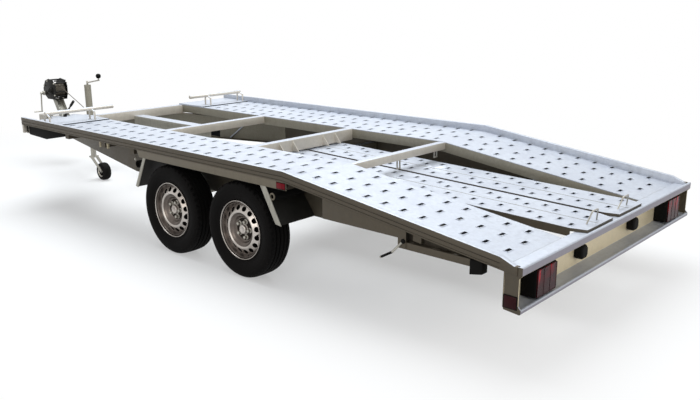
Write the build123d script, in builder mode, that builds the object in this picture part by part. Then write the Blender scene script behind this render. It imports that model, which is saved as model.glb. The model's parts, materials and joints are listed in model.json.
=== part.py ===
from build123d import *
import os
from math import cos, hypot, radians, sin

os.makedirs("parts", exist_ok=True)

# Overall sizes in millimetres. Distances along the trailer are measured ahead of the rear lip.
overall_length = 6400
deck_length = 4580
body_width = 2120
half_width = body_width / 2
deck_height = 673
bend = 1500
deck_slope = 0.130

# Sheet and section walls
sheet = 4
rib = 4

# Side rails: a closed profile with two rolled grooves, standing above the deck
rail_thickness = 28
rail_above = 47
rail_below = 13
rail_rear = 25
rail_corner = 113
rail_inner = half_width - rail_thickness
groove_depth = 3
# Each groove: its drop below the rail's top, its height
groove_table = [(28, 4), (50, 3)]

# Tracks
track_inner = 483
plate_rear = 104
seam = 4204
seam_gap = 6
stringer_depth = 66
stringer_flange = 36

# Pressed slots, in rows across the track and at one pitch along it
slot_length = 44
slot_width = 20
slot_pitch = 123.5
slot_rows = 4
first_row = 75
last_row = 24
row_pitch = (rail_inner - track_inner - first_row - last_row) / (slot_rows - 1)
slot_rear = 187

# Cross beams between the stringers: name, rear face, front face, depth
beam_table = [
    ("front", 4520, 4576, 74),
    ("second", 3356, 3416, 60),
    ("third", 2348, 2408, 84),
    ("bend", 1480, 1532, 84),
]
tab_length = 20
fin_places = [-285, -155, 155, 285]
fin_length = 62
fin_thickness = 6
outrigger_rears = [560, 1480, 2352, 3000, 3366, 3880]
outrigger_width = 50
outrigger_depth = 52

# Tyres, whose outer faces stand just inside the body's width
tyre_radius = 298
tyre_width = 165
tyre_inset = 2
wheel_centre = half_width - tyre_width / 2 - tyre_inset

# Main beams inside the tyres, and the drawbar that runs on from them
beam_gap = 123
beam_outer = wheel_centre - tyre_width / 2 - beam_gap
beam_width = 60
beam_bottom = 395
beam_front = 3400
arm_front = 5960
nose_half = 130
arm_spread = (beam_outer - nose_half) / (arm_front - beam_front)
arm_drop = 78
arm_top_deck = deck_height - arm_drop
arm_top_nose = 480
arm_bottom_nose = 375
arm_slope_from = 4640
arm_slope_to = 5200
centre_beam_half = 50
centre_beam_drop = 48
centre_beam_top = deck_height - centre_beam_drop
centre_beam_depth = 80

# Rear crossmember
lip_rise = 33
lip_height = deck_height - bend * deck_slope + lip_rise
lip_flat = lip_height - 14
lip_bottom = lip_height - 38
web_face = 92
sill_top = 314
sill_bottom = 291
sill_floor = 304
post_rear = 15
post_front = 88
post_sheet = 6
post_inset = 4
post_outer = half_width - post_inset

# Loading ramps lying between the tracks
ramp_inner = 15
ramp_width = 360
ramp_rear = 120
ramp_tongue = 36
tongue_corner = 28
ramp_front = 2420
ramp_height = lip_height + 0.2
ramp_slope = 0.0283
ramp_depth = 45
ramp_slot_pitch = 178
bail_height = 66
ramp_slot_rear = 139
ramp_slot_length = 36
ramp_handle_x = 86
ear_rear = 1350
# Each row of slots: its distance from the ramp's inner edge, its shift along the ramp
ramp_rows = [(72, 89), (ramp_width / 2 - 60, 0), (ramp_width - 113, 91), (ramp_width - 58, 0)]
seat_gap = 0.3

# Running gear
wheel_rear = 1895
wheel_front = 2585
rim_flange = 182.5
rim_seat = 165
rim_inset = 17
rim_half = tyre_width / 2 - rim_inset
rim_wall = 6
flange_wall = 8
disc_wall = 5
disc_root = rim_half - 51
crest_inset = 27
crest = rim_half - crest_inset
crest_radius = 114
hub_face = rim_half - 60
hub_radius = 74
cap_radius = 27
cap_length = 20
rim_hole = 27
rim_hole_ring = 136
rim_holes = 16
drum_radius = 108
drum_depth = 78.5
drum_inner = wheel_centre - drum_depth
stub_radius = 20
stub_length = 46
running_gap = 0.3
axle_lead = 170
axle_size = 80
trailing_arm = 40
arm_outer = drum_inner - 25
arm_inner = arm_outer - trailing_arm

# Mudguards and what hangs from the rails
guard_drop = 60
guard_top = deck_height - guard_drop
guard_sheet = 5
guard_inset = 12
guard_outer = half_width - guard_inset
guard_flap = 398
guard_points = [(1530, guard_flap), (1690, guard_top), (2835, guard_top), (2960, guard_flap)]
skirt_rear = 1470
skirt_front = 2930
skirt_top = deck_height - rail_below
skirt_depth = 48
skirt_bottom = skirt_top - skirt_depth
skirt_inset = 4
skirt_outer = half_width - skirt_inset
skirt_fold = 7
marker_length = 75
guard_tube_radius = 25
guard_tubes = [(1595, guard_top - 55), (2945, guard_top - 57)]
panel_front = 1200
panel_rear = 690
panel_bottom = deck_height - 168
bracket_rear = 640
bracket_bottom = panel_bottom - 50
panel_inset = 10
panel_outer = half_width - panel_inset
panel_sheet = 6
panel_fold = 40
lock_tube_rear = 275
lock_tube_bottom = panel_bottom - 53
lock_tube_size = 36
lock_cap_length = 68
lock_cap_depth = 24
lever_radius = 4
lever_points = [(654, panel_bottom - 11), (703, panel_bottom - 72), (766, panel_bottom - 107)]

# Jockey stand
jockey_x = 4990
jockey_y = 220
jockey_tube = 30
jockey_wall = 4.5
jockey_lift = 150
jockey_trail = 112
jockey_heading = 195
jockey_wheel_radius = 82
jockey_wheel_width = 44
fork_top = 2 * jockey_wheel_radius + 58
fork_sheet = 4
fork_width = 30
jockey_bottom = fork_top + jockey_lift + 8
jockey_top = 886
jockey_leg_top = 680
crank_heading = 215
crank_reach = 112
knob_radius = 22

# Wheel stops across the front of the tracks
stop_x = 4285
stop_z = deck_height + 95
stop_radius = 15
stop_inner = track_inner - 83
stop_outer = half_width - 60
hoop_radius = 7

# Winch and coupling
winch_x = 6000
winch_plate = arm_top_nose + 175
winch_z = winch_plate + 90
coupling_height = 430
tie_sheet = 8
lug_x = 5268
lug_z = 516
pin_radius = 5


def along(distance):
    """Turn a distance ahead of the rear lip into the model's X, whose origin is at mid-length."""
    return distance - overall_length / 2


def deck_line(distance, rise=0):
    """Height of the deck's surface at a distance ahead of the lip, plus a rise."""
    return deck_height + rise - max(0, bend - distance) * deck_slope


def deck_strip(rear, front, top, bottom):
    """Side outline that follows the bent deck, its top and bottom measured from the deck's surface."""
    stations = [rear, bend, front] if rear < bend < front else [rear, front]
    upper = [(distance, deck_line(distance, top)) for distance in stations]
    lower = [(distance, deck_line(distance, bottom)) for distance in reversed(stations)]
    return upper + lower


def ramp_line(distance, rise=0):
    """Height of a stowed ramp's surface at a distance ahead of the lip."""
    return ramp_height + ramp_slope * distance + rise


def side_profile(points, y_low, y_high, mode=Mode.ADD):
    """Extrude an outline seen from the side, given as (distance, height), between two Y values."""
    with BuildSketch(Plane.XZ.offset(-y_high)) as outline:
        with BuildLine():
            Polyline(*[(along(distance), height) for distance, height in points], close=True)
        make_face()
    extrude(outline.sketch, amount=y_high - y_low, dir=(0, -1, 0), mode=mode)


def plan_profile(points, z_low, z_high, mode=Mode.ADD):
    """Extrude an outline seen from above, given as (distance, y), between two heights."""
    with BuildSketch(Plane.XY.offset(z_low)) as outline:
        with BuildLine():
            Polyline(*[(along(distance), y) for distance, y in points], close=True)
        make_face()
    extrude(outline.sketch, amount=z_high - z_low, dir=(0, 0, 1), mode=mode)


def rectangle(low_a, high_a, low_b, high_b):
    """Corner points of a rectangle."""
    return [(low_a, low_b), (high_a, low_b), (high_a, high_b), (low_a, high_b)]


def cross_rod(distance, height, radius, y_low, y_high, mode=Mode.ADD):
    """A round bar or bore that lies across the trailer."""
    with BuildSketch(Plane.XZ.offset(-y_high)) as outline:
        with Locations((along(distance), height)):
            Circle(radius)
    extrude(outline.sketch, amount=y_high - y_low, dir=(0, -1, 0), mode=mode)


def upright(distance, y, radius, z_low, z_high, mode=Mode.ADD):
    """A round bar or bore that stands upright."""
    with BuildSketch(Plane.XY.offset(z_low)) as outline:
        with Locations((along(distance), y)):
            Circle(radius)
    extrude(outline.sketch, amount=z_high - z_low, dir=(0, 0, 1), mode=mode)


def rod(start, end, radius):
    """A round bar between two points given as (distance, y, height)."""
    first = Vector(along(start[0]), start[1], start[2])
    last = Vector(along(end[0]), end[1], end[2])
    with BuildSketch(Plane(origin=first, z_dir=last - first)) as outline:
        Circle(radius)
    extrude(outline.sketch, amount=(last - first).length, dir=(last - first).normalized())


def bent_rod(points, radius, corner):
    """A round bar bent through points given as (distance, y, height), with a rounded corner at each."""
    places = [Vector(along(x), y, z) for x, y, z in points]
    with BuildLine() as path:
        FilletPolyline(*places, radius=corner)
    with BuildSketch(Plane(origin=places[0], z_dir=places[1] - places[0])) as outline:
        Circle(radius)
    sweep(outline.sketch, path=path.line)


def slot_holes(centres, length, width, z_low, z_high):
    """Cut slots that lie across the trailer, from their (distance, y) centres."""
    with BuildSketch(Plane.XY.offset(z_low)) as slots:
        with Locations(*[(along(distance), y) for distance, y in centres]):
            Rectangle(width, length)
    extrude(slots.sketch, amount=z_high - z_low, dir=(0, 0, 1), mode=Mode.SUBTRACT)


def export(piece, name):
    """Label a finished piece and write it to its own file."""
    piece.label = name
    export_step(piece, f"parts/{name}.step")


def export_pair(left, name):
    """Write a left-hand piece and its mirror image on the right."""
    with BuildPart() as right:
        add(left)
        mirror(about=Plane.XZ, mode=Mode.REPLACE)
    export(left, f"{name}_left")
    export(right.part, f"{name}_right")


def export_both(left, name):
    """Write a left-hand piece and its mirror image as separate solids in one file."""
    with BuildPart() as both:
        add(left)
        mirror(about=Plane.XZ)
    export(both.part, name)


# Side rails, with the rear end cut down to the lip
with BuildPart() as side_rail:
    rail_outline = deck_strip(rail_corner, deck_length, rail_above, -rail_below)
    rail_outline += [
        (rail_rear, deck_line(rail_rear, -rail_below)),
        (rail_rear, lip_height),
        (rail_rear + 15, lip_height),
    ]
    side_profile(rail_outline, rail_inner, half_width)
    for drop, height in groove_table:
        top = rail_above - drop
        groove = deck_strip(rail_corner, deck_length, top, top - height)
        side_profile(groove, half_width - groove_depth, half_width, Mode.SUBTRACT)
export_pair(side_rail.part, "side_rail")

# Inner stringers: channels whose web closes the inside of each track
with BuildPart() as stringer:
    stringer_rear = web_face + sheet
    stringer_front = beam_table[0][1]
    web_outer = track_inner + rib
    side_profile(deck_strip(stringer_rear, stringer_front, -sheet, -sheet - stringer_depth), track_inner, web_outer)
    for top in (-sheet, -stringer_depth):
        flange = deck_strip(stringer_rear, stringer_front, top, top - rib)
        side_profile(flange, web_outer, track_inner + stringer_flange)
export_pair(stringer.part, "inner_stringer")


def slot_centres(rear, front):
    """Centres of the pressed slots between two distances; the outer rows stand half a pitch on."""
    centres = []
    for row in range(slot_rows):
        shift = slot_pitch / 2 if row in (0, slot_rows - 1) else 0
        distance = slot_rear + shift
        while distance < front - slot_width * 1.5:
            if distance > rear + slot_width * 1.5:
                centres.append((distance, track_inner + first_row + row_pitch * row))
            distance += slot_pitch
    return centres


# Perforated track plates: one on the slope and one on the flat, which ends in a plain front plate.
# Each row of the table is a node's name and its sheets: rear edge, front edge, perforated or not.
plate_table = [
    ("slope_plate", [(plate_rear, bend, True)]),
    ("track_plate", [(bend, seam, True), (seam + seam_gap, deck_length, False)]),
]
for plate_name, sheets in plate_table:
    with BuildPart() as plate:
        for rear, front, perforated in sheets:
            side_profile(deck_strip(rear, front, 0, -sheet), track_inner, rail_inner)
            if perforated:
                slot_holes(slot_centres(rear, front), slot_length, slot_width, 0, deck_height + 1)
    export_pair(plate.part, plate_name)

# Cross beams, channels open to the front, the front one right across under the plates
with BuildPart() as crossbeams:
    for place, rear, front, depth in beam_table:
        full_width = place == "front"
        reach = rail_inner if full_width else track_inner
        top = deck_line(rear) - (sheet if full_width else 0)
        bottom = top - depth
        section = [
            (rear, bottom),
            (front, bottom),
            (front, bottom + rib),
            (rear + rib, bottom + rib),
            (rear + rib, top - rib),
            (front, top - rib),
            (front, top),
            (rear, top),
        ]
        side_profile(section, -reach, reach)
        if full_width:
            tab = rectangle(front - tab_length, front, bottom, deck_height - rail_below)
            for y_low in (rail_inner, -half_width + 2):
                side_profile(tab, y_low, y_low + rail_thickness - 2)
        if place == "third":
            foot = bottom + rib
            for y in fin_places:
                fin = [(rear, foot), (rear, top - rib), (rear - fin_length, foot)]
                side_profile(fin, y - fin_thickness / 2, y + fin_thickness / 2)
export(crossbeams.part, "crossbeams")

# Outriggers from the stringers over the main beams to the rails
with BuildPart() as outriggers:
    for rear in outrigger_rears:
        strip = deck_strip(rear, rear + outrigger_width, -sheet, -sheet - outrigger_depth)
        side_profile(strip, track_inner + stringer_flange, rail_inner)
export_pair(outriggers.part, "outriggers")

# Main beams: deep channels, open inwards, under the tracks
beam_top = -sheet - outrigger_depth
beam_rear = web_face + sheet
with BuildPart() as main_beam:
    web = [
        (beam_rear, beam_bottom),
        (beam_front, beam_bottom),
        (beam_front, deck_line(beam_front, beam_top)),
        (bend, deck_line(bend, beam_top)),
        (beam_rear, deck_line(beam_rear, beam_top)),
    ]
    side_profile(web, beam_outer - rib, beam_outer)
    top_flange = deck_strip(beam_rear, beam_front, beam_top, beam_top - rib)
    side_profile(top_flange, beam_outer - beam_width, beam_outer - rib)
    low_flange = rectangle(beam_rear, beam_front, beam_bottom, beam_bottom + rib)
    side_profile(low_flange, beam_outer - beam_width, beam_outer - rib)
export_pair(main_beam.part, "main_beam")

# Drawbar arms: channels that run on from the main beams and meet at the coupling
arm_length = hypot(1, arm_spread)
arm_direction = Vector(1 / arm_length, -arm_spread / arm_length, 0)
arm_inward = Vector(-arm_spread / arm_length, -1 / arm_length, 0)
arm_start = Vector(along(beam_front), beam_outer, 0)


def arm_profile(points, depth_from, depth_to):
    """Extrude an outline that stands on the arm's outer face, given as (distance, height)."""
    face = Plane(origin=arm_start + arm_inward * depth_from, x_dir=arm_direction, z_dir=arm_inward)
    with BuildSketch(face) as outline:
        with BuildLine():
            Polyline(*[((x - beam_front) * arm_length, z) for x, z in points], close=True)
        make_face()
    extrude(outline.sketch, amount=depth_to - depth_from, dir=arm_inward)


with BuildPart() as drawbar_arm:
    arm_rear = beam_front - 40
    web = [
        (arm_rear, beam_bottom),
        (arm_front, arm_bottom_nose),
        (arm_front, arm_top_nose),
        (arm_slope_to, arm_top_nose),
        (arm_slope_from, arm_top_deck),
        (arm_rear, arm_top_deck),
    ]
    arm_profile(web, 0, rib)
    for low, high in ((web[0], web[1]), (web[3], web[2]), (web[4], web[3]), (web[5], web[4])):
        lift = rib if low is web[0] else -rib
        flange = [low, high, (high[0], high[1] + lift), (low[0], low[1] + lift)]
        arm_profile(flange, rib, beam_width)
    split(bisect_by=Plane.YZ.offset(along(beam_front)), keep=Keep.TOP)
export_pair(drawbar_arm.part, "drawbar_arm")

# Centre beam between the two front cross beams
with BuildPart() as centre_beam:
    centre_rear = beam_table[1][2]
    centre_front = beam_table[0][1]
    centre_low = centre_beam_top - centre_beam_depth
    side = rectangle(centre_rear, centre_front, centre_low, centre_beam_top)
    side_profile(side, -centre_beam_half, centre_beam_half)
    hollow = rectangle(centre_rear, centre_front, centre_low, centre_beam_top - rib)
    side_profile(hollow, -centre_beam_half + rib, centre_beam_half - rib, Mode.SUBTRACT)
export(centre_beam.part, "centre_beam")

# Chassis cross members between the main beams, which also carry the stowed ramps
cross_table = [(780, 60, 840), (2340, 60, 2400)]
with BuildPart() as chassis_crossmembers:
    for rear, depth, front in cross_table:
        top = ramp_line(rear, -ramp_depth - seat_gap)
        side_profile(rectangle(rear, front, top - depth, top), rib - beam_outer, beam_outer - rib)
export(chassis_crossmembers.part, "chassis_crossmembers")

# Rear crossmember: lip, web and sill folded from one sheet, closed by an end plate on each side
with BuildPart() as rear_crossmember:
    upper = [
        (0, lip_bottom),
        (rib, lip_bottom),
        (rib, lip_flat - rib),
        (web_face, lip_flat - rib),
        (web_face, lip_bottom),
        (web_face + rib, lip_bottom),
        (web_face + rib, lip_flat),
        (24, lip_flat),
        (14, lip_height),
        (4, lip_height),
        (0, lip_height - 6),
    ]
    side_profile(upper, -rail_inner, rail_inner)
    inner_end = post_outer - post_sheet
    lip = [
        (0, lip_bottom),
        (rib, lip_bottom),
        (rib, lip_flat - rib),
        (rail_rear - 1, lip_flat - rib),
        (rail_rear - 1, lip_flat),
        (14, lip_height),
        (4, lip_height),
        (0, lip_height - 6),
    ]
    side_profile(lip, -inner_end, inner_end)
    lower = [
        (web_face, lip_bottom),
        (web_face, sill_floor + rib + 8),
        (18, sill_floor + rib),
        (16, sill_top),
        (4, sill_top),
        (0, sill_top - 6),
        (0, sill_bottom + 6),
        (6, sill_bottom),
        (web_face, sill_floor),
        (web_face + rib, sill_floor + 4),
        (web_face + rib, lip_bottom),
    ]
    side_profile(lower, -inner_end, inner_end)
    post = [
        (0, sill_bottom + 6),
        (6, sill_bottom),
        (post_front, sill_bottom + 8),
        (post_front, deck_line(post_front, -rail_below)),
        (rail_rear, deck_line(rail_rear, -rail_below)),
        (rail_rear, lip_height),
        (0, lip_height),
        (0, lip_bottom),
        (post_rear, lip_bottom - 16),
        (post_rear, sill_top + 16),
        (0, sill_top),
    ]
    for y_low in (inner_end, -post_outer):
        side_profile(post, y_low, y_low + post_sheet)
export(rear_crossmember.part, "rear_crossmember")

# Rear lamps, buffers, and the reflectors on the end plates and skirts
lamp_width = 185
lamp_inner = half_width - 160 - lamp_width
lamp_bottom = sill_top + 6
lamp_height = 138
lamp_rear = 10
with BuildPart() as rear_lamp:
    outline = rectangle(lamp_rear, web_face, lamp_bottom, lamp_bottom + lamp_height)
    side_profile(outline, lamp_inner, lamp_inner + lamp_width)
    chamfer(rear_lamp.faces().sort_by(Axis.X)[0].edges(), 6)
export_both(rear_lamp.part, "rear_lamps")

buffer_centre = 330
buffer_height = 390
buffer_size = 72
buffer_length = 46
with BuildPart() as rear_buffers:
    with BuildSketch(Plane.YZ.offset(along(web_face))) as outline:
        with Locations((-buffer_centre, buffer_height), (buffer_centre, buffer_height)):
            Rectangle(buffer_size, buffer_size)
        chamfer(outline.vertices(), 16)
    extrude(outline.sketch, amount=buffer_length, dir=(-1, 0, 0))
    chamfer(rear_buffers.faces().sort_by(Axis.X)[:2].edges(), 8)
export(rear_buffers.part, "rear_buffers")

with BuildPart() as side_reflectors:
    side_profile(rectangle(post_rear + 3, post_front, 310, 374), post_outer, half_width)
    marker = rectangle(skirt_rear + 3, skirt_rear + 3 + marker_length, skirt_bottom + 2, skirt_top - 5)
    side_profile(marker, skirt_outer, half_width)
export_both(side_reflectors.part, "side_reflectors")

# Ramps: two folded planks side by side, perforated, with a tongue that rests on the lip
for ramp_name, sign in (("ramp_left", 1), ("ramp_right", -1)):
    with BuildPart() as ramp:
        y_edges = sorted((sign * ramp_inner, sign * (ramp_inner + ramp_width)))
        top_sheet = [
            (ramp_rear, ramp_line(ramp_rear, -sheet)),
            (ramp_front, ramp_line(ramp_front, -sheet)),
            (ramp_front, ramp_line(ramp_front)),
            (ramp_rear, ramp_line(ramp_rear)),
        ]
        side_profile(top_sheet, *y_edges)
        fold = [
            (ramp_rear, ramp_line(ramp_rear, -ramp_depth)),
            (ramp_front, ramp_line(ramp_front, -ramp_depth)),
            (ramp_front, ramp_line(ramp_front, -sheet)),
            (ramp_rear, ramp_line(ramp_rear, -sheet)),
        ]
        for start in (0, ramp_width / 2 - rib, ramp_width - 2 * rib):
            y_from = y_edges[0] + start
            side_profile(fold, y_from, y_from + 2 * rib)
        tongue = [
            (ramp_tongue, lip_flat + seat_gap),
            (ramp_rear, lip_flat + seat_gap),
            (ramp_rear, ramp_line(ramp_rear)),
            (ramp_tongue, ramp_line(ramp_tongue)),
        ]
        side_profile(tongue, *y_edges)
        for edge, inwards in ((y_edges[0], 1), (y_edges[1], -1)):
            corner = [
                (ramp_tongue, edge),
                (ramp_tongue, edge + inwards * tongue_corner),
                (ramp_rear, edge),
            ]
            plan_profile(corner, lip_flat, deck_height, Mode.SUBTRACT)
        ramp_slots = []
        for offset, shift in ramp_rows:
            distance = ramp_slot_rear + shift
            while distance < ramp_front - slot_length:
                ramp_slots.append((distance, sign * (ramp_inner + offset)))
                distance += ramp_slot_pitch
        slot_holes(ramp_slots, ramp_slot_length, slot_width, 0, deck_height)
        bail_middle = sign * (ramp_inner + ramp_width / 2)
        foot_height = ramp_line(ramp_handle_x)
        bail = [
            (ramp_handle_x, bail_middle - 60, foot_height - 2),
            (ramp_handle_x - 16, bail_middle - 34, foot_height + bail_height),
            (ramp_handle_x - 16, bail_middle + 34, foot_height + bail_height),
            (ramp_handle_x, bail_middle + 60, foot_height - 2),
        ]
        bent_rod(bail, 4, 14)
        ear = [
            (ear_rear, ramp_line(ear_rear, -1)),
            (ear_rear + 40, ramp_line(ear_rear + 40, -1)),
            (ear_rear + 40, ramp_line(ear_rear + 40, 26)),
            (ear_rear + 16, ramp_line(ear_rear + 16, 26)),
        ]
        for y_low in (bail_middle - 12, bail_middle + 8):
            side_profile(ear, y_low, y_low + rib)
    export(ramp.part, ramp_name)

# Mudguards: one folded sheet each side over both wheels
with BuildPart() as mudguard:
    inner_points = [
        (guard_points[0][0] + 6, guard_flap),
        (guard_points[1][0] + 3, guard_top - guard_sheet),
        (guard_points[2][0] - 3, guard_top - guard_sheet),
        (guard_points[3][0] - 6, guard_flap),
    ]
    side_profile(guard_points + inner_points[::-1], beam_outer, guard_outer)
export_pair(mudguard.part, "mudguard")

# Each stay on the mudguard's ends: where its head and its foot stand, and its width
stay_table = [
    (guard_points[2][0] + 14, guard_points[3][0], 28),
    (guard_points[1][0] - 24, guard_points[0][0] + 14, 48),
]
with BuildPart() as guard_stays:
    for top_x, low_x, stay_width in stay_table:
        stay = [
            (top_x - stay_width / 2, skirt_bottom),
            (low_x - stay_width / 2, guard_flap - 2),
            (low_x + stay_width / 2, guard_flap + 4),
            (top_x + stay_width / 2, skirt_bottom),
        ]
        side_profile(stay, guard_outer, guard_outer + 6)
    for distance, height in guard_tubes:
        cross_rod(distance, height, guard_tube_radius, beam_outer, guard_outer - 4)
        cross_rod(distance, height, guard_tube_radius - 3, beam_outer + 30, guard_outer - 4, Mode.SUBTRACT)
export_both(guard_stays.part, "guard_stays")

# Side skirts under the rails
with BuildPart() as side_skirt:
    skirt = [
        (skirt_rear, skirt_bottom),
        (skirt_front - 26, skirt_bottom),
        (skirt_front, skirt_top),
        (bend, skirt_top),
        (skirt_rear, deck_line(skirt_rear, -rail_below)),
    ]
    side_profile(skirt, skirt_outer - rib, skirt_outer)
    fold = rectangle(skirt_rear, skirt_front - 26, skirt_bottom, skirt_bottom + rib)
    side_profile(fold, skirt_outer - skirt_fold, skirt_outer)
export_both(side_skirt.part, "side_skirts")

# Rear side panels with the tube of the ramp lock behind them
with BuildPart() as rear_side_panel:
    panel = [
        (panel_front, panel_bottom),
        (panel_rear, panel_bottom),
        (panel_rear, bracket_bottom),
        (bracket_rear, bracket_bottom),
        (bracket_rear, deck_line(bracket_rear, -rail_below)),
        (panel_front, deck_line(panel_front, -rail_below)),
    ]
    side_profile(panel, panel_outer - panel_sheet, panel_outer)
    lip_flange = rectangle(panel_rear, panel_front, panel_bottom, panel_bottom + rib)
    side_profile(lip_flange, panel_outer - panel_fold, panel_outer - panel_sheet)
    front_flange = [
        (panel_front - rib, panel_bottom),
        (panel_front, panel_bottom),
        (panel_front, deck_line(panel_front, -rail_below)),
        (panel_front - rib, deck_line(panel_front - rib, -rail_below)),
    ]
    side_profile(front_flange, panel_outer - panel_fold, panel_outer - panel_sheet)
    lock_tube = rectangle(lock_tube_rear, panel_rear, lock_tube_bottom, lock_tube_bottom + lock_tube_size)
    side_profile(lock_tube, panel_outer - panel_sheet - lock_tube_size, panel_outer - panel_sheet)
export_both(rear_side_panel.part, "rear_side_panels")

with BuildPart() as lock_tube_cap:
    cap_rear = lock_tube_rear - lock_cap_length
    cap_top = lock_tube_bottom + lock_tube_size
    cap = [
        (cap_rear, lock_tube_bottom - lock_cap_depth),
        (cap_rear, cap_top),
        (lock_tube_rear, cap_top),
        (lock_tube_rear, lock_tube_bottom - lock_cap_depth - 14),
    ]
    side_profile(cap, panel_outer - 48, panel_outer - 2)
export_both(lock_tube_cap.part, "lock_tube_caps")

with BuildPart() as ramp_lock_lever:
    lever_y = panel_outer + lever_radius + seat_gap
    cross_rod(*lever_points[0], 11, panel_outer, half_width)
    bent_rod([(x, lever_y, z) for x, z in lever_points], lever_radius, 30)
export(ramp_lock_lever.part, "ramp_lock_lever")

# Front corner boxes in black plastic
box_rear = 3950
box_depth = 99
box_width = 152
with BuildPart() as corner_box:
    box_front = beam_table[0][1] - 4
    box = [
        (box_rear, deck_height - box_depth + 58),
        (box_rear + 293, deck_height - box_depth),
        (box_front, deck_height - box_depth + 9),
        (box_front, deck_height - sheet),
        (box_rear, deck_height - sheet),
    ]
    side_profile(box, rail_inner - box_width, rail_inner)
export_both(corner_box.part, "corner_boxes")

# Axles: a square torsion tube with a trailing arm, stub and back plate at each end
for axle_name, wheel_x in (("axle_front", wheel_front), ("axle_rear", wheel_rear)):
    with BuildPart() as axle:
        tube_x = wheel_x + axle_lead
        tube_z = beam_bottom - axle_size / 2
        tube = rectangle(tube_x - axle_size / 2, tube_x + axle_size / 2, tube_z - axle_size / 2, beam_bottom)
        side_profile(tube, -arm_inner, arm_inner)
        for sign in (1, -1):
            low, high = sorted((sign * arm_inner, sign * arm_outer))
            arm = [
                (tube_x + 34, tube_z - 34),
                (tube_x + 34, tube_z + 34),
                (tube_x - 34, tube_z + 34),
                (wheel_x - 22, tyre_radius + 30),
                (wheel_x - 32, tyre_radius),
                (wheel_x - 22, tyre_radius - 30),
                (tube_x - 34, tube_z - 34),
            ]
            side_profile(arm, low, high)
            low, high = sorted((sign * arm_outer, sign * (drum_inner + stub_length)))
            cross_rod(wheel_x, tyre_radius, stub_radius, low, high)
            low, high = sorted((sign * (drum_inner - 9), sign * (drum_inner - 5)))
            cross_rod(wheel_x, tyre_radius, drum_radius - 4, low, high)
    export(axle.part, axle_name)


def turned(distance, height, points, mode=Mode.ADD):
    """Revolve a closed (y, radius) outline about the wheel's axis, which lies across the trailer."""
    with BuildSketch(Plane.YZ.offset(along(distance))) as outline:
        with BuildLine():
            Polyline(*[(y, height + radius) for y, radius in points], close=True)
        make_face()
    axis = Axis((along(distance), 0, height), (0, 1, 0))
    revolve(outline.sketch, axis=axis, mode=mode)


# Wheels: tyre, pressed rim with a ring of round holes, and the hub and brake drum behind it
# Both outlines are (distance outwards from the wheel's middle, radius)
tyre_half = tyre_width / 2
tyre_table = [
    (rim_half - flange_wall - running_gap, rim_seat + running_gap),
    (rim_half - flange_wall - running_gap, rim_flange + running_gap),
    (rim_half + 1, rim_flange + 4),
    (tyre_half, 240),
    (tyre_half - 6, 278),
    (tyre_half - 24, tyre_radius),
]
inner_face = crest - disc_wall
drum_front = hub_face - disc_wall
rim_table = [
    (rim_half, rim_flange),
    (rim_half, rim_flange - 5),
    (rim_half - 9, rim_seat - rim_wall),
    (disc_root, rim_seat - rim_wall),
    (crest, crest_radius + 4),
    (crest, crest_radius - 4),
    (hub_face, hub_radius),
    (hub_face, cap_radius),
    (hub_face + cap_length, cap_radius - 3),
    (hub_face + cap_length, 0),
    (stub_length + running_gap - drum_depth, 0),
    (stub_length + running_gap - drum_depth, stub_radius + running_gap),
    (-drum_depth, stub_radius + running_gap),
    (-drum_depth, drum_radius),
    (drum_front - 10, drum_radius),
    (drum_front, hub_radius + 12),
    (drum_front, hub_radius + 2),
    (inner_face, crest_radius - 6),
    (inner_face, crest_radius + 2),
    (disc_root - disc_wall, rim_seat - rim_wall),
    (-rim_half + 9, rim_seat - rim_wall),
    (-rim_half, rim_flange - 5),
    (-rim_half, rim_flange),
    (-rim_half + flange_wall, rim_flange),
    (-rim_half + flange_wall, rim_seat),
    (rim_half - flange_wall, rim_seat),
    (rim_half - flange_wall, rim_flange),
]
for wheel_name, wheel_x in (("front", wheel_front), ("rear", wheel_rear)):
    with BuildPart() as tyre:
        outer = [(wheel_centre + y, radius) for y, radius in tyre_table]
        inner = [(wheel_centre - y, radius) for y, radius in reversed(tyre_table)]
        turned(wheel_x, tyre_radius, outer + inner)
    export_pair(tyre.part, f"tyre_{wheel_name}")

    with BuildPart() as rim:
        turned(wheel_x, tyre_radius, [(wheel_centre + y, radius) for y, radius in rim_table])
        with BuildSketch(Plane.XZ.offset(-wheel_centre - rim_half)) as holes:
            with Locations((along(wheel_x), tyre_radius)):
                with PolarLocations(rim_hole_ring, rim_holes):
                    Circle(rim_hole / 2)
        extrude(holes.sketch, amount=rim_half, dir=(0, -1, 0), mode=Mode.SUBTRACT)
    export_pair(rim.part, f"rim_{wheel_name}")

# Jockey stand: outer tube clamped inside the left drawbar arm, sliding leg, swivelling fork and wheel
heading = Vector(cos(radians(jockey_heading)), sin(radians(jockey_heading)), 0)
axle_line = Vector(-heading.Y, heading.X, 0)
hub_centre = Vector(along(jockey_x), jockey_y, jockey_wheel_radius) + heading * jockey_trail

with BuildPart() as jockey_tube_piece:
    upright(jockey_x, jockey_y, jockey_tube, jockey_bottom, jockey_top)
    web_y = beam_outer - (jockey_x - beam_front) * arm_spread - rib * arm_length
    clamp_half = 45
    clamp = [
        (jockey_x - clamp_half, jockey_y - 10),
        (jockey_x + clamp_half, jockey_y - 10),
        (jockey_x + clamp_half, web_y - clamp_half * arm_spread),
        (jockey_x - clamp_half, web_y + clamp_half * arm_spread),
    ]
    plan_profile(clamp, jockey_bottom + 20, arm_top_nose - 10)
    upright(jockey_x, jockey_y, jockey_tube - jockey_wall, jockey_bottom, jockey_top - 8, Mode.SUBTRACT)
export(jockey_tube_piece.part, "jockey_tube")

leg_radius = jockey_tube - jockey_wall - running_gap
with BuildPart() as jockey_leg:
    upright(jockey_x, jockey_y, leg_radius, fork_top, jockey_leg_top)
export(jockey_leg.part, "jockey_leg")

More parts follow.
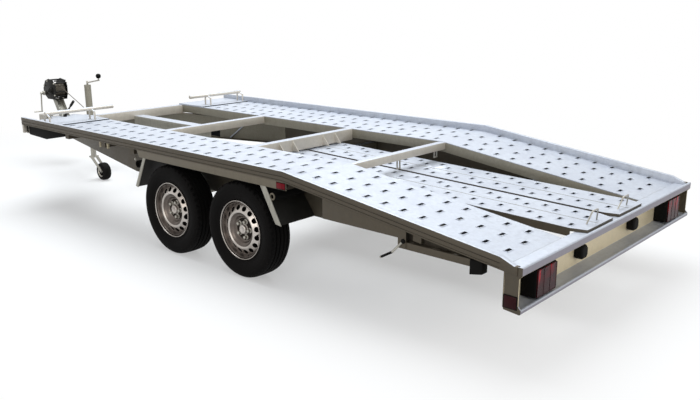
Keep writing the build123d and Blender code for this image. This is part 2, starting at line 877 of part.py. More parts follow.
fork_gap = jockey_wheel_width / 2 + 6
with BuildPart() as jockey_fork:
    fork_plane = Plane(origin=(along(jockey_x), jockey_y, 0), x_dir=heading, z_dir=-axle_line)
    crown_low = fork_top - 14
    crown = [(-28, crown_low), (30, crown_low), (30, fork_top), (-28, fork_top)]
    strip = [
        (-fork_width / 2, crown_low),
        (jockey_trail - fork_width / 2, jockey_wheel_radius),
        (jockey_trail, jockey_wheel_radius - fork_width / 2),
        (jockey_trail + fork_width / 2, jockey_wheel_radius),
        (fork_width, crown_low),
    ]
    crown_half = fork_gap + fork_sheet
    fork_parts = [(crown, -crown_half, crown_half), (strip, fork_gap, crown_half), (strip, -crown_half, -fork_gap)]
    for points, low, high in fork_parts:
        with BuildSketch(fork_plane.offset(low)) as outline:
            with BuildLine():
                Polyline(*points, close=True)
            make_face()
        extrude(outline.sketch, amount=high - low)
    with BuildSketch(fork_plane.offset(-crown_half - 4)) as pin:
        with Locations((jockey_trail, jockey_wheel_radius)):
            Circle(6)
    extrude(pin.sketch, amount=2 * (crown_half + 4))
export(jockey_fork.part, "jockey_fork")

with BuildPart() as jockey_wheel:
    wheel_plane = Plane(origin=hub_centre, x_dir=axle_line, z_dir=axle_line.cross(Vector(0, 0, 1)))
    half = jockey_wheel_width / 2
    with BuildSketch(wheel_plane) as outline:
        with BuildLine():
            Polyline(
                (-half, 6 + running_gap),
                (-half, 22),
                (-half + 12, 26),
                (-half + 12, jockey_wheel_radius - 32),
                (-half + 2, jockey_wheel_radius - 28),
                (-half + 2, jockey_wheel_radius - 10),
                (-half + 12, jockey_wheel_radius),
                (half - 12, jockey_wheel_radius),
                (half - 2, jockey_wheel_radius - 10),
                (half - 2, jockey_wheel_radius - 28),
                (half - 12, jockey_wheel_radius - 32),
                (half - 12, 26),
                (half, 22),
                (half, 6 + running_gap),
                close=True,
            )
        make_face()
    revolve(outline.sketch, axis=Axis(hub_centre, axle_line))
export(jockey_wheel.part, "jockey_wheel")

knob_x = jockey_x + crank_reach * cos(radians(crank_heading))
knob_y = jockey_y + crank_reach * sin(radians(crank_heading))
with BuildPart() as jockey_crank:
    upright(jockey_x, jockey_y, 9, jockey_top, jockey_top + 34)
    rod((jockey_x, jockey_y, jockey_top + 20), (knob_x, knob_y, jockey_top + 42), 6)
    upright(knob_x, knob_y, 9, jockey_top + 36, jockey_top + 64)
    upright(knob_x, knob_y, knob_radius, jockey_top + 60, jockey_top + 102)
    chamfer(jockey_crank.edges().group_by(Axis.Z)[-1], 8)
export(jockey_crank.part, "jockey_crank")

# Drawbar head: tie plate, overrun housing, bellows and coupling
with BuildPart() as tie_plates:
    for rear, front in ((5200, 5330), (5740, 5950)):
        outer_rear = beam_outer - (rear - beam_front) * arm_spread
        outer_front = beam_outer - (front - beam_front) * arm_spread
        shape = [(rear, -outer_rear), (front, -outer_front), (front, outer_front), (rear, outer_rear)]
        plan_profile(shape, arm_top_nose, arm_top_nose + tie_sheet)
    lug = [
        (lug_x - 30, arm_top_nose + tie_sheet),
        (lug_x + 30, arm_top_nose + tie_sheet),
        (lug_x + 14, lug_z + 14),
        (lug_x - 14, lug_z + 14),
    ]
    side_profile(lug, -5, 5)
    cross_rod(lug_x, lug_z, pin_radius + running_gap, -5, 5, Mode.SUBTRACT)
export(tie_plates.part, "drawbar_tie_plates")

housing_half = 48
with BuildPart() as overrun_housing:
    body = [(5745, 392), (6060, 392), (6060, 468), (6030, arm_top_nose), (5745, arm_top_nose)]
    side_profile(body, -housing_half, housing_half)
export(overrun_housing.part, "overrun_housing")

with BuildPart() as bellows:
    with BuildSketch(Plane.YZ.offset(along(6060))) as ring:
        with Locations((0, coupling_height)):
            Circle(34)
    extrude(ring.sketch, amount=110, dir=(1, 0, 0))
export(bellows.part, "overrun_bellows")

with BuildPart() as coupling:
    with BuildSketch(Plane.YZ.offset(along(6170))) as shaft:
        with Locations((0, coupling_height)):
            Circle(28)
    extrude(shaft.sketch, amount=60, dir=(1, 0, 0))
    head = [(6215, -40), (6300, -46), (6360, -46), (overall_length, -22), (overall_length, 22), (6360, 46), (6300, 46), (6215, 40)]
    plan_profile(head, 398, 462)
    with BuildSketch(Plane.XY.offset(398)) as socket:
        with Locations((along(6340), 0)):
            Circle(26)
    extrude(socket.sketch, amount=40, dir=(0, 0, 1), mode=Mode.SUBTRACT)
    handle = [(6230, 462), (6290, 462), (6250, 486), (6120, 500), (6116, 490), (6220, 476)]
    side_profile(handle, -14, 14)
export(coupling.part, "coupling_head")

with BuildPart() as handbrake:
    side_profile(rectangle(5800, 5840, arm_top_nose + tie_sheet, arm_top_nose + tie_sheet + 26), 25, 45)
    rod((5820, 35, 504), (5676, 35, 620), 8)
    rod((5684, 35, 614), (5622, 35, 663), 13)
export(handbrake.part, "handbrake_lever")

# Winch: leaning post, side plates, drum, crank and the taut cable with its hook
post_foot = arm_top_nose + tie_sheet
with BuildPart() as winch_post:
    post_outline = [(5860, post_foot), (5925, post_foot), (6030, winch_plate), (5965, winch_plate)]
    side_profile(post_outline, -42, 42)
    post_hollow = [(5850, post_foot), (5919, post_foot), (6024, winch_plate), (5955, winch_plate)]
    side_profile(post_hollow, -38, 38, Mode.SUBTRACT)
export(winch_post.part, "winch_post")

cheek_half = 66
with BuildPart() as winch_frame:
    side_profile(rectangle(winch_x - 70, winch_x + 90, winch_plate, winch_plate + 6), -cheek_half, cheek_half)
    # Outline of a side plate from the drum's axis: ahead of it, and above the base plate
    cheek_table = [(-70, 6), (90, 6), (150, 45), (160, 105), (110, 185), (40, 207), (-50, 195), (-95, 145), (-95, 75)]
    cheek = [(winch_x + ahead, winch_plate + above) for ahead, above in cheek_table]
    for low in (-cheek_half, cheek_half - rib):
        side_profile(cheek, low, low + rib)
    for ahead, above in ((-58, 163), (120, 135), (-65, 35)):
        cross_rod(winch_x + ahead, winch_plate + above, 6, rib - cheek_half, cheek_half - rib)
export(winch_frame.part, "winch_frame")

drum_flange = 72
with BuildPart() as winch_drum:
    for low, high, radius in ((-60, -55, drum_flange), (-55, 55, drum_flange - 7), (55, 60, drum_flange)):
        cross_rod(winch_x, winch_z, radius, low, high)
    cross_rod(winch_x, winch_z, 10, -62, 62)
export(winch_drum.part, "winch_drum")

crank_x = winch_x + 128
crank_z = winch_z - 33
with BuildPart() as winch_crank:
    cross_rod(crank_x, crank_z, 12, cheek_half, cheek_half + 52)
    rod((crank_x, 112, crank_z), (crank_x + 6, 120, crank_z - 192), 7)
    rod((crank_x + 6, 112, crank_z - 186), (crank_x + 6, 200, crank_z - 186), 6)
export(winch_crank.part, "winch_crank")

with BuildPart() as winch_cable:
    cross_rod(lug_x, lug_z, pin_radius, -14, 14)
    hook_end = (lug_x + 46, lug_z + 20)
    cheek = [(lug_x - 8, lug_z - 8), (lug_x + 4, lug_z - 9), (hook_end[0] + 9, hook_end[1] - 6)]
    cheek += [(hook_end[0] + 5, hook_end[1] + 9), (lug_x - 4, lug_z + 9)]
    for y_low in (-12, 8):
        side_profile(cheek, y_low, y_low + 4)
    cross_rod(*hook_end, 6, -12, 12)
    rod((hook_end[0], 0, hook_end[1]), (winch_x - 50, 0, winch_z + 52), 3.5)
export(winch_cable.part, "winch_cable")

# Wheel stops: a cross bar on two bent hoops at the front of each track
with BuildPart() as wheel_stop:
    cross_rod(stop_x, stop_z, stop_radius, stop_inner, stop_outer)
    for y in (track_inner + 117, half_width - 70):
        for distance in (stop_x - 50, stop_x + 30):
            upright(distance, y, hoop_radius, deck_height, stop_z - 20)
        rod((stop_x - 50, y, stop_z - 24), (stop_x, y, stop_z), hoop_radius)
        rod((stop_x + 30, y, stop_z - 24), (stop_x, y, stop_z), hoop_radius)
export_both(wheel_stop.part, "wheel_stops")
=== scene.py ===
# %% [markdown]
# # A car carrier trailer, finished in Blender
# The steelwork of this trailer comes from an exact model: rails, tracks, beams, axles and wheels at
# their real size. This lesson adds what the eye notices: spangled zinc, pressed slots with raised
# lips, tyres with tread, deep pressed rims, lamps, a wound winch and the many bolts.
# We load the exact model first, because every piece below takes its place from it.

# %% Load the exact model
import bpy
import bmesh
import json
import math
from mathutils import Matrix, Vector

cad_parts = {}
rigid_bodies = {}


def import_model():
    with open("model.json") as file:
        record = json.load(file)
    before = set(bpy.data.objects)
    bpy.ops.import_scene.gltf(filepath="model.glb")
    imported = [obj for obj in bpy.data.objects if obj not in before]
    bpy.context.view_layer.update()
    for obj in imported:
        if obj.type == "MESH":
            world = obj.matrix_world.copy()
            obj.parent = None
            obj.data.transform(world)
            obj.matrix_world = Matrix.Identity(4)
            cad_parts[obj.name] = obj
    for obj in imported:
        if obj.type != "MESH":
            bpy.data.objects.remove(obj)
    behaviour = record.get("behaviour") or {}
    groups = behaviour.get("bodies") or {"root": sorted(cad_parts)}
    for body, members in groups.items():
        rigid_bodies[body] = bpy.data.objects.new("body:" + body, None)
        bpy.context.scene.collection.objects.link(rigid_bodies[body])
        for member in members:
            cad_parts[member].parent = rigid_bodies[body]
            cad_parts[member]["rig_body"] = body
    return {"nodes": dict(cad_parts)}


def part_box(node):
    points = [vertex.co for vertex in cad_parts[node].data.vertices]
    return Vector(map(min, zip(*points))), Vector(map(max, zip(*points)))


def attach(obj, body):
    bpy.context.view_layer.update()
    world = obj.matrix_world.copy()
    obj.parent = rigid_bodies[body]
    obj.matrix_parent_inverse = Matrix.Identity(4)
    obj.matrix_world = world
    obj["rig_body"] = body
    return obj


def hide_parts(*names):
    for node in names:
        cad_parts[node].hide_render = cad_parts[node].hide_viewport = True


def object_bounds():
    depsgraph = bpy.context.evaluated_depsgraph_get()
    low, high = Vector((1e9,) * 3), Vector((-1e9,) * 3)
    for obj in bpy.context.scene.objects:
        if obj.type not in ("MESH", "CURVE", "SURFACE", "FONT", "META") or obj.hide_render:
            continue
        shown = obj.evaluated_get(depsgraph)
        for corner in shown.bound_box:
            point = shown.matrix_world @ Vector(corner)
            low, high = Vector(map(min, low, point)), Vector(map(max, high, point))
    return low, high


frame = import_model()
cad_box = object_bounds()
nodes = frame["nodes"]
scene = bpy.context.scene
print("overall size", [round(high - low, 3) for low, high in zip(*cad_box)])

# %% [markdown]
# ## Measures
# A trailer maker measures along the trailer from its rear lip. We do the same: one short function
# turns such a distance into the model's X, whose origin is half-way along, and another turns it
# back. The deck is flat at the front and slopes down behind the bend, so its height is a function.

# %% Distances and the height of the deck
overall_length = cad_box[1].x - cad_box[0].x
deck_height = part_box("track_plate_left")[1].z
bend = 1.500
deck_slope = 0.130
wheel_places = {"front": 2.585, "rear": 1.895}
tyre_radius = 0.298
wheel_centre = 0.9755


def along(distance):
    """The model's X at a distance ahead of the rear lip."""
    return distance - overall_length / 2


def from_lip(x):
    """The distance ahead of the rear lip of a place at the model's X."""
    return x + overall_length / 2


def deck_line(distance):
    """Height of the deck's surface at a distance ahead of the rear lip."""
    return deck_height - max(0, bend - distance) * deck_slope


print("deck height", round(deck_height, 3), "and at the rear", round(deck_line(0), 3))

# %% [markdown]
# ## Camera
# The photograph was taken from behind the left side, a little above the deck. A camera is a place,
# three angles and a lens. We write the three axes of the camera from the angles and build its
# matrix, which avoids guessing the order of Euler turns.

# %% The camera that took the picture
camera_place = Vector((along(-1.494), 3.838, 1.626))
camera_heading = -0.8406
camera_tilt = 0.2573
camera_roll = -0.0034
camera_lens = 38.92

ahead = Vector((
    math.cos(camera_heading) * math.cos(camera_tilt),
    math.sin(camera_heading) * math.cos(camera_tilt),
    -math.sin(camera_tilt),
))
level = Vector((math.sin(camera_heading), -math.cos(camera_heading), 0))
upright = level.cross(ahead)
right = level * math.cos(camera_roll) + upright * math.sin(camera_roll)
top = upright * math.cos(camera_roll) - level * math.sin(camera_roll)

camera_data = bpy.data.cameras.new("camera")
camera_data.sensor_width = 36
camera_data.lens = camera_lens
camera = bpy.data.objects.new("camera", camera_data)
scene.collection.objects.link(camera)
camera_axes = Matrix((right, top, -ahead)).transposed().to_4x4()
camera.matrix_world = Matrix.Translation(camera_place) @ camera_axes
scene.camera = camera
print("camera", [round(value, 3) for value in camera_place])

# %% [markdown]
# ## Shader maths in Python
# A material is a graph of small sums. Wiring them by hand hides the idea, so one small class wraps
# a socket and overloads the arithmetic operators. An expression such as `1 - mask * 0.3` then adds
# its own Math nodes. Every other node comes from one method that sets the node's options first and
# then its inputs.

# %% A socket that understands arithmetic


class Socket:
    """An output of a shader node, usable in Python expressions."""

    def __init__(self, tree, output):
        self.tree = tree
        self.output = output

    def node(self, kind, settings=None, output=0, **inputs):
        """Add a node, set its options, fill its inputs and return one of its outputs."""
        made = self.tree.nodes.new(kind)
        for name, value in (settings or {}).items():
            if name == "stops":
                ramp = made.color_ramp
                while len(ramp.elements) < len(value):
                    ramp.elements.new(0.5)
                for element, (place, shade) in zip(ramp.elements, value):
                    element.position = place
                    element.color = (*shade, 1) if len(shade) == 3 else shade
            else:
                setattr(made, name, value)
        for name, value in inputs.items():
            plug = made.inputs[int(name[1:]) if name[0] == "i" and name[1:].isdigit() else name]
            if isinstance(value, Socket):
                self.tree.links.new(value.output, plug)
            else:
                plug.default_value = value
        return Socket(self.tree, made.outputs[output])

    def math(self, operation, first, second=0.0, clamp=False):
        settings = {"operation": operation, "use_clamp": clamp}
        return self.node("ShaderNodeMath", settings, i0=first, i1=second)

    def __add__(self, other):
        return self.math("ADD", self, other)

    def __sub__(self, other):
        return self.math("SUBTRACT", self, other)

    def __rsub__(self, other):
        return self.math("SUBTRACT", other, self)

    def __mul__(self, other):
        return self.math("MULTIPLY", self, other)

    __radd__ = __add__
    __rmul__ = __mul__

    def clamped(self):
        return self.math("ADD", self, 0.0, clamp=True)

    def above(self, edge, softness):
        """0 below the edge and 1 above it, with a soft step between."""
        return self.math("MULTIPLY", self - (edge - softness / 2), 1 / softness, clamp=True)

    def mix(self, low, high):
        """A colour between two colours, by this value."""
        return self.node("ShaderNodeMix", {"data_type": "RGBA"}, output=2, i0=self, i6=low, i7=high)

    def bump(self, strength, distance, normal=None):
        extra = {"Normal": normal} if normal else {}
        return self.node("ShaderNodeBump", Height=self, Strength=strength, Distance=distance, **extra)


print("arithmetic on sockets ready")

# %% [markdown]
# ## Colours and materials
# A colour is picked as it looks on a screen, but a shader counts light, so the colour is made linear.
# Two more helpers start a material and fill its shader.

# %% Colours and empty materials


def shade(red, green, blue):
    """A colour given as it looks, from 0 to 255, turned into the linear values a shader wants."""
    return tuple(((value / 255 + 0.055) / 1.055) ** 2.4 for value in (red, green, blue)) + (1,)


def new_material(name):
    """An empty principled material and the coordinates of the piece that wears it."""
    made = bpy.data.materials.new(name)
    made.use_nodes = True
    tree = made.node_tree
    coordinates = tree.nodes.new("ShaderNodeTexCoord")
    return made, Socket(tree, coordinates.outputs["Object"])


def dress(made, **inputs):
    """Fill the sockets of a material's principled shader."""
    tree = made.node_tree
    shader = tree.nodes["Principled BSDF"]
    for name, value in inputs.items():
        plug = shader.inputs[name.replace("_", " ")]
        if isinstance(value, Socket):
            tree.links.new(value.output, plug)
        else:
            plug.default_value = value
    return made


print("materials can be made")

# %% [markdown]
# ## Zinc
# Hot-dip galvanised steel shows flat crystals, a few millimetres to a centimetre across, each with its
# own brightness. A Voronoi texture gives every cell one random value, which is just that. Slow noise
# adds the milky patches of weathering, and a stretched noise the faint runs of rain. One function
# makes the tone of each part: its light and dark colour, how rough it is and how dirty. Besides the
# plain zinc, most tones are copies of it made lighter or darker for how light falls on the parts that
# wear them: painted light and painted shade.

# %% Galvanised steel in several tones
rain_dirt = (96, 88, 76)


def zinc(name, light, dark, roughness, metallic, grime=0.3, crystal=95):
    made, place = new_material(name)
    warp = place.node("ShaderNodeTexNoise", Vector=place, Scale=40.0, Detail=2.0)
    cell = place.node("ShaderNodeTexVoronoi", Vector=place, Scale=crystal, output=1)
    tone = cell.node("ShaderNodeSeparateColor", Color=cell)
    patch = place.node("ShaderNodeTexNoise", Vector=place, Scale=3.2, Detail=5.0, Roughness=0.6)
    fine = place.node("ShaderNodeTexNoise", Vector=place, Scale=260.0, Detail=3.0)
    stretched = place.node("ShaderNodeMapping", Vector=place, Scale=(14.0, 14.0, 2.2))
    runs = place.node("ShaderNodeTexNoise", Vector=stretched, Scale=2.4, Detail=4.0)
    mask = (patch * 0.55 + tone * 0.22 + fine * 0.23 + (warp - 0.5) * 0.1).clamped()
    base = mask.mix(shade(*dark), shade(*light))
    dirt = runs.above(0.56, 0.2) * patch.above(0.45, 0.3) * grime
    colour = dirt.mix(base, shade(*rain_dirt))
    rough = (roughness + (tone - 0.5) * 0.14 + (patch - 0.5) * 0.16 + dirt * 0.2).clamped()
    normal = (fine * 0.6 + tone * 0.4).bump(0.12, 0.0006)
    return dress(made, Base_Color=colour, Roughness=rough, Metallic=metallic, Normal=normal)


steel = zinc("galvanised_steel", (196, 194, 184), (152, 148, 136), 0.5, 0.3)
# The tracks' own zinc, also used as a painted highlight on the upward faces of other parts.
plate_steel = zinc("track_plate_steel", (204, 209, 215), (159, 164, 179), 0.45, 0.3, 0.12)
# Painted shade: a darker copy of the zinc for side faces, on rails, panels, arms, outriggers, ramp
# sides and end plates.
shaded_side_steel = zinc("rail_steel_painted_shade", (97, 88, 73), (64, 57, 46), 0.55, 0.25)
# Painted shade: a still darker copy for the main beams, which lie in shade.
shaded_frame_steel = zinc("shaded_frame_steel", (86, 79, 65), (58, 53, 44), 0.6, 0.25)
# Painted shade: the darkest copy, for the rails' grooves and the webs behind the lock tubes.
groove_shade_steel = zinc("groove_shade_steel", (62, 54, 42), (40, 35, 28), 0.7, 0.2)
# Painted shade: a darker copy for the side skirts and the stays' rings.
shaded_skirt_steel = zinc("shaded_skirt_steel", (134, 126, 110), (98, 90, 77), 0.55, 0.25, 0.15)
beam_steel = zinc("cross_beam_steel", (218, 211, 200), (184, 177, 164), 0.45, 0.3, 0.06)
# Painted shade: a mid copy for stringers, chassis crossmembers, the jockey tube, the arms' inner faces
# and the plank joints.
half_shaded_steel = zinc("stringer_steel", (160, 156, 142), (118, 112, 98), 0.55, 0.25, 0.1)
# Painted light: a warm, light copy that stands for light bounced up from the ground, on the rear
# crossmember's sill and the outriggers' tabs.
warm_lit_steel = zinc("crossmember_steel", (234, 221, 190), (200, 187, 156), 0.45, 0.25, 0.03)
# Painted shade with a lilac tint of reflected sky, on the face of the rear lip.
shaded_lip_steel = zinc("shaded_lip_steel", (160, 157, 168), (120, 116, 126), 0.45, 0.35, 0.1)
# A darker steel for the cable, partly its own colour and partly painted shade on the wound turns.
cable_steel = zinc("cable_steel", (112, 104, 92), (62, 57, 50), 0.5, 0.5, 0.3, 300)
bright_steel = zinc("zinc_plated_steel", (196, 193, 184), (140, 136, 126), 0.34, 0.75, 0.3, 300)
print("zinc finishes", len([m for m in bpy.data.materials if "steel" in m.name]))

# %% [markdown]
# ## Paint, plastic and rubber
# The rims wear silver paint, with a darker copy of it as painted shade, the winch black paint, and the
# guards a coarse moulded plastic. Brake dust is a dark brown that also serves as painted shade in the
# wheels, and the slots get a near black, painted shade. Each is a base colour broken up by noise, with
# a roughness that follows it.
# Rubber and plastic reflect less than the shader's default, so their specular level is lowered.

# %% Painted and moulded finishes


def coat(name, colour, worn, roughness, metallic=0.0, grain=400.0, depth=0.0004, gloss=0.5):
    made, place = new_material(name)
    patch = place.node("ShaderNodeTexNoise", Vector=place, Scale=7.0, Detail=5.0, Roughness=0.65)
    fine = place.node("ShaderNodeTexNoise", Vector=place, Scale=grain, Detail=2.0)
    mask = (patch.above(0.52, 0.3) * 0.6 + (fine - 0.4) * 0.4).clamped()
    rough = (roughness + (patch - 0.5) * 0.2 + (fine - 0.5) * 0.1).clamped()
    return dress(
        made,
        Base_Color=mask.mix(shade(*colour), shade(*worn)),
        Roughness=rough,
        Metallic=metallic,
        Specular_IOR_Level=gloss,
        Normal=fine.bump(0.25, depth),
    )


rim_paint = coat("rim_silver_paint", (196, 190, 184), (140, 130, 121), 0.3, 0.9, 300.0, 0.0002)
# Painted shade: a darker copy of the rim's silver paint, for all but its crest and flange.
rim_shaded_paint = coat("rim_silver_paint_shaded", (112, 103, 97), (62, 55, 50), 0.30, 0.85, 300.0, 0.0002)
black_paint = coat("black_paint", (16, 15, 14), (38, 36, 32), 0.42, 0.0, 220.0, 0.0002, 0.14)
black_plastic = coat("black_plastic", (20, 20, 20), (34, 33, 31), 0.65, 0.0, 700.0, 0.0005, 0.05)
guard_plastic = coat("guard_plastic", (37, 36, 34), (56, 54, 50), 0.5, 0.0, 700.0, 0.0005, 0.25)
rubber = coat("rubber", (13, 13, 12), (26, 25, 23), 0.75, 0.0, 900.0, 0.0004, 0.12)
tyre_rubber = coat("tyre_rubber", (9, 8, 8), (22, 20, 19), 0.75, 0.0, 500.0, 0.0004, 0.08)
# Brake dust on drum and back plate, and painted shade in the rim's groove, barrel and hole walls and
# on the hub face.
brake_dust_and_shade = coat("brake_dust_and_shade", (34, 30, 27), (58, 50, 44), 0.8, 0.0, 300.0, 0.0003, 0.1)
# Painted shade in the slots' collars, inside the hollow beam and on the front plates' folded edges.
slot_shade = coat("slot_shade", (30, 32, 38), (52, 54, 58), 0.85, 0.0, 300.0, 0.0003, 0.1)
print("painted and moulded finishes ready")

# %% [markdown]
# ## Lamp lenses
# A rear lens is a thin red shell over a dark housing, moulded with upright prisms that scatter the
# light. A wave texture that stands upright gives the prisms, and stretched noise paints bright streaks
# into the colour, painted highlights. Below a given height the streaks fade out, so a rear lens is
# darker towards its foot: painted shade.

# %% Red lens


def lens(name, colour, deep, streaks=0.8, across="Y", dark_below=0.0):
    made, place = new_material(name)
    upright = place.node("ShaderNodeMapping", Vector=place, Scale=(1.0, 46.0, 9.0))
    wave = upright.node("ShaderNodeTexNoise", Vector=upright, Scale=1.0, Detail=1.0)
    ribs = place.node("ShaderNodeTexWave", {"bands_direction": across}, Vector=place, Scale=90.0)
    patch = place.node("ShaderNodeTexNoise", Vector=place, Scale=16.0, Detail=2.0)
    height = place.node("ShaderNodeSeparateXYZ", None, 2, Vector=place)
    # Painted highlights: bright upright streaks, mixed with random tone from the patch noise; below
    # dark_below they fade, painted shade at the foot.
    streak = (wave.above(0.6, 0.16) * streaks + (patch - 0.42) * 0.6).clamped()
    if dark_below:
        streak = streak * height.above(dark_below, 0.05)
    return dress(
        made,
        Base_Color=streak.mix(shade(*deep), shade(*colour)),
        Roughness=(0.22 + patch * 0.12).clamped(),
        Specular_IOR_Level=0.12,
        Normal=ribs.bump(0.08, 0.0005),
    )


red_lens = lens("red_lens", (186, 6, 34), (48, 3, 14), 0.9, "Y", 0.385)
marker_lens = lens("marker_lens", (176, 14, 36), (124, 8, 26), 0.0, "X")
dark_red_lens = lens("dark_red_lens", (88, 16, 24), (48, 8, 14), 0.0, "X")
print("lenses ready")

# %% [markdown]
# ## Dress the exact parts
# Each part of the exact model gets a finish: the one its real counterpart has, or one of the lighter
# and darker copies of the zinc, painted light and painted shade. Parts that need more than a finish
# are rebuilt in the cells that follow and then stand for the exact part.

# %% Finish of each part
# Darker copies of the zinc are painted shade on the rails, panels, arms, outriggers, skirts, main
# beams, stringers, crossmembers and jockey tube; the rear crossmember gets painted warm light.
parts_with = {
    plate_steel: "slope_plate track_plate ramp_left ramp_right",
    shaded_side_steel: "side_rail rear_side_panels drawbar_arm outriggers",
    shaded_skirt_steel: "side_skirts",
    shaded_frame_steel: "main_beam",
    half_shaded_steel: "inner_stringer chassis_crossmembers jockey_tube",
    steel: "guard_stays",
    warm_lit_steel: "rear_crossmember",
    beam_steel: "crossbeams",
    bright_steel: "jockey_leg jockey_fork jockey_crank overrun_housing coupling_head winch_crank "
                  "ramp_lock_lever",
    cable_steel: "winch_cable",
    black_paint: "winch_drum winch_frame handbrake_lever",
    guard_plastic: "mudguard",
    black_plastic: "corner_boxes lock_tube_caps rear_lamps side_reflectors",
    rubber: "rear_buffers overrun_bellows jockey_wheel",
    tyre_rubber: "tyre",
    rim_shaded_paint: "rim",
}
finish_of = {start: finish for finish, starts in parts_with.items() for start in starts.split()}


def finish_for(name):
    """The finish whose key begins the node's name, or plain galvanised steel."""
    matches = [key for key in finish_of if name.startswith(key)]
    return finish_of[max(matches, key=len)] if matches else steel


for name, part in nodes.items():
    part.data.materials.clear()
    part.data.materials.append(finish_for(name))
print("dressed", len(nodes), "parts")

# %% [markdown]
# ## Helpers of the workshop
# Modelling by hand in Blender is selecting and acting. These helpers keep the selecting short:
# deselect everything, pick some pieces, open one for editing, pick its faces by a rule, join
# several or copy one.

# %% Select, edit and join


def deselect():
    if bpy.context.mode != "OBJECT":
        bpy.ops.object.mode_set(mode="OBJECT")
    bpy.ops.object.select_all(action="DESELECT")


def only(*pieces):
    deselect()
    for piece in pieces:
        piece.select_set(True)
    bpy.context.view_layer.objects.active = pieces[0]
    return pieces[0]


def edit(piece):
    only(piece)
    bpy.ops.object.mode_set(mode="EDIT")
    bpy.ops.mesh.select_all(action="SELECT")


def pick(piece, rule):
    """In edit mode, select the faces that a rule of their centre and direction chooses."""
    shape = bmesh.from_edit_mesh(piece.data)
    for face in shape.faces:
        face.select = rule(face.calc_center_median(), face.normal)
    bmesh.update_edit_mesh(piece.data)


def join(pieces):
    only(*pieces)
    if len(pieces) > 1:
        bpy.ops.object.join()
    return bpy.context.object


def twin_of(piece, matrix):
    """A copy with a mesh of its own, moved as a whole."""
    twin = piece.copy()
    twin.data = piece.data.copy()
    scene.collection.objects.link(twin)
    twin.matrix_world = matrix @ piece.matrix_world
    return twin


print("selecting and joining ready")

# %% [markdown]
# ## Paint and settle
# Two helpers give some faces of a piece a finish of their own. The last one finishes a piece: it
# writes the place into the mesh, smooths it, names it and ties it to its body.

# %% Paint a piece and finish it


def paint(piece, *finishes):
    """Give a piece its finishes, of which all its faces wear the first."""
    piece.data.materials.clear()
    for finish in finishes:
        piece.data.materials.append(finish)


def number_faces(piece, rule):
    """Give each face the number of its finish, by a rule of its centre and direction."""
    for face in piece.data.polygons:
        face.material_index = int(rule(face.center, face.normal))


def paint_some(piece, finish, rule):
    """Give one more finish to the faces that a rule chooses; the others keep theirs."""
    piece.data.materials.append(finish)
    for face in piece.data.polygons:
        if rule(face.center, face.normal):
            face.material_index = len(piece.data.materials) - 1


def settle(piece, name, finish=None, body="chassis", stands_for=(), smooth=40):
    """Write the place into the mesh, smooth, name and tie the piece to its body."""
    only(piece)
    bpy.ops.object.transform_apply(location=True, rotation=True, scale=True)
    bpy.ops.object.shade_smooth_by_angle(angle=math.radians(smooth))
    piece.name = name
    piece.data.name = name
    if finish:
        paint(piece, finish)
    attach(piece, body)
    if stands_for:
        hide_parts(*stands_for)
    return piece


print("painting and settling ready")

# %% [markdown]
# ## Rounded edges
# Rolled and folded steel has no knife edges: every corner has a small radius that catches the light
# as a thin bright line. We merge a copy of each exact part, bevel its edges by a millimetre or two,
# and let it stand for the exact one. The exact part itself is never changed.

# %% Copies with softened edges


def softened(name, width, steps=2):
    """A merged copy of an exact part with rounded edges, which stands for that part."""
    twin = bpy.data.objects.new(name + "_finished", nodes[name].data.copy())
    scene.collection.objects.link(twin)
    edit(twin)
    bpy.ops.mesh.remove_doubles(threshold=0.00002)
    bpy.ops.mesh.dissolve_limited(angle_limit=math.radians(0.5))
    bpy.ops.object.mode_set(mode="OBJECT")
    if width:
        bpy.ops.object.modifier_add(type="BEVEL")
        bevel = twin.modifiers[-1]
        bevel.width = width
        bevel.segments = steps
        bevel.angle_limit = math.radians(32)
        bpy.ops.object.modifier_apply(modifier=bevel.name)
    return settle(twin, name + "_finished", None, nodes[name]["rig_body"], (name,), 35)


edge_table = {
    0: "ramp_left ramp_right",
    0.0030: "side_rail_left side_rail_right coupling_head rear_buffers corner_boxes lock_tube_caps",
    0.0016: "crossbeams main_beam_left main_beam_right drawbar_arm_left drawbar_arm_right "
            "inner_stringer_left inner_stringer_right centre_beam chassis_crossmembers "
            "rear_crossmember side_skirts rear_side_panels drawbar_tie_plates mudguard_left "
            "mudguard_right winch_post overrun_housing guard_stays rear_lamps",
    0.0010: "winch_frame winch_crank winch_drum jockey_tube jockey_fork jockey_crank wheel_stops "
            "handbrake_lever",
}
finished = {}
for width, names in edge_table.items():
    finished.update({name: softened(name, width) for name in names.split()})
print("softened", len(finished), "parts")

# %% [markdown]
# ## Painted highlights on tops and painted shade on sides
# The upper faces get a brighter steel, a painted highlight, and so do the rails' inner faces, which
# catch light bounced from the deck. The sides, the rails' grooves and the inside of the hollow beam
# get darker finishes, painted shade. The shapes are right already, so it is enough to give some faces
# a second finish, by a rule of where they lie and which way they look. For a face that looks at the
# middle line, the product of its direction's Y and its place's Y is negative. The crank's knob is
# plastic.

# %% Rules for second finishes
rail_top = 0.030
groove_y = (1.036, 1.0575)
hollow_half_width = 0.0475
end_plate_y = 1.045
lip_depth = 0.03
sill_heights = (0.33, 0.48)
stay_paint_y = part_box("guard_stays")[1].y - 0.0065
knob_height = 0.942


def give_second_finish(name, bright, side=None, rule=lambda place, normal: normal.z > 0.7):
    """Faces that a rule chooses get a second finish, by default the upward faces, where a brighter
    steel is a painted highlight; the rest keep theirs.
    """
    paint(finished[name], side or finish_for(name))
    paint_some(finished[name], bright, rule)


def looks_inwards(place, normal):
    return normal.y * place.y < -0.3


# Painted light: the rail's top and its inner faces, which catch light bounced from the deck, get the
# brighter steel.
def rail_is_bright(place, normal):
    on_top = normal.z > 0.6 and place.z > deck_line(from_lip(place.x)) + rail_top
    return on_top or looks_inwards(place, normal)


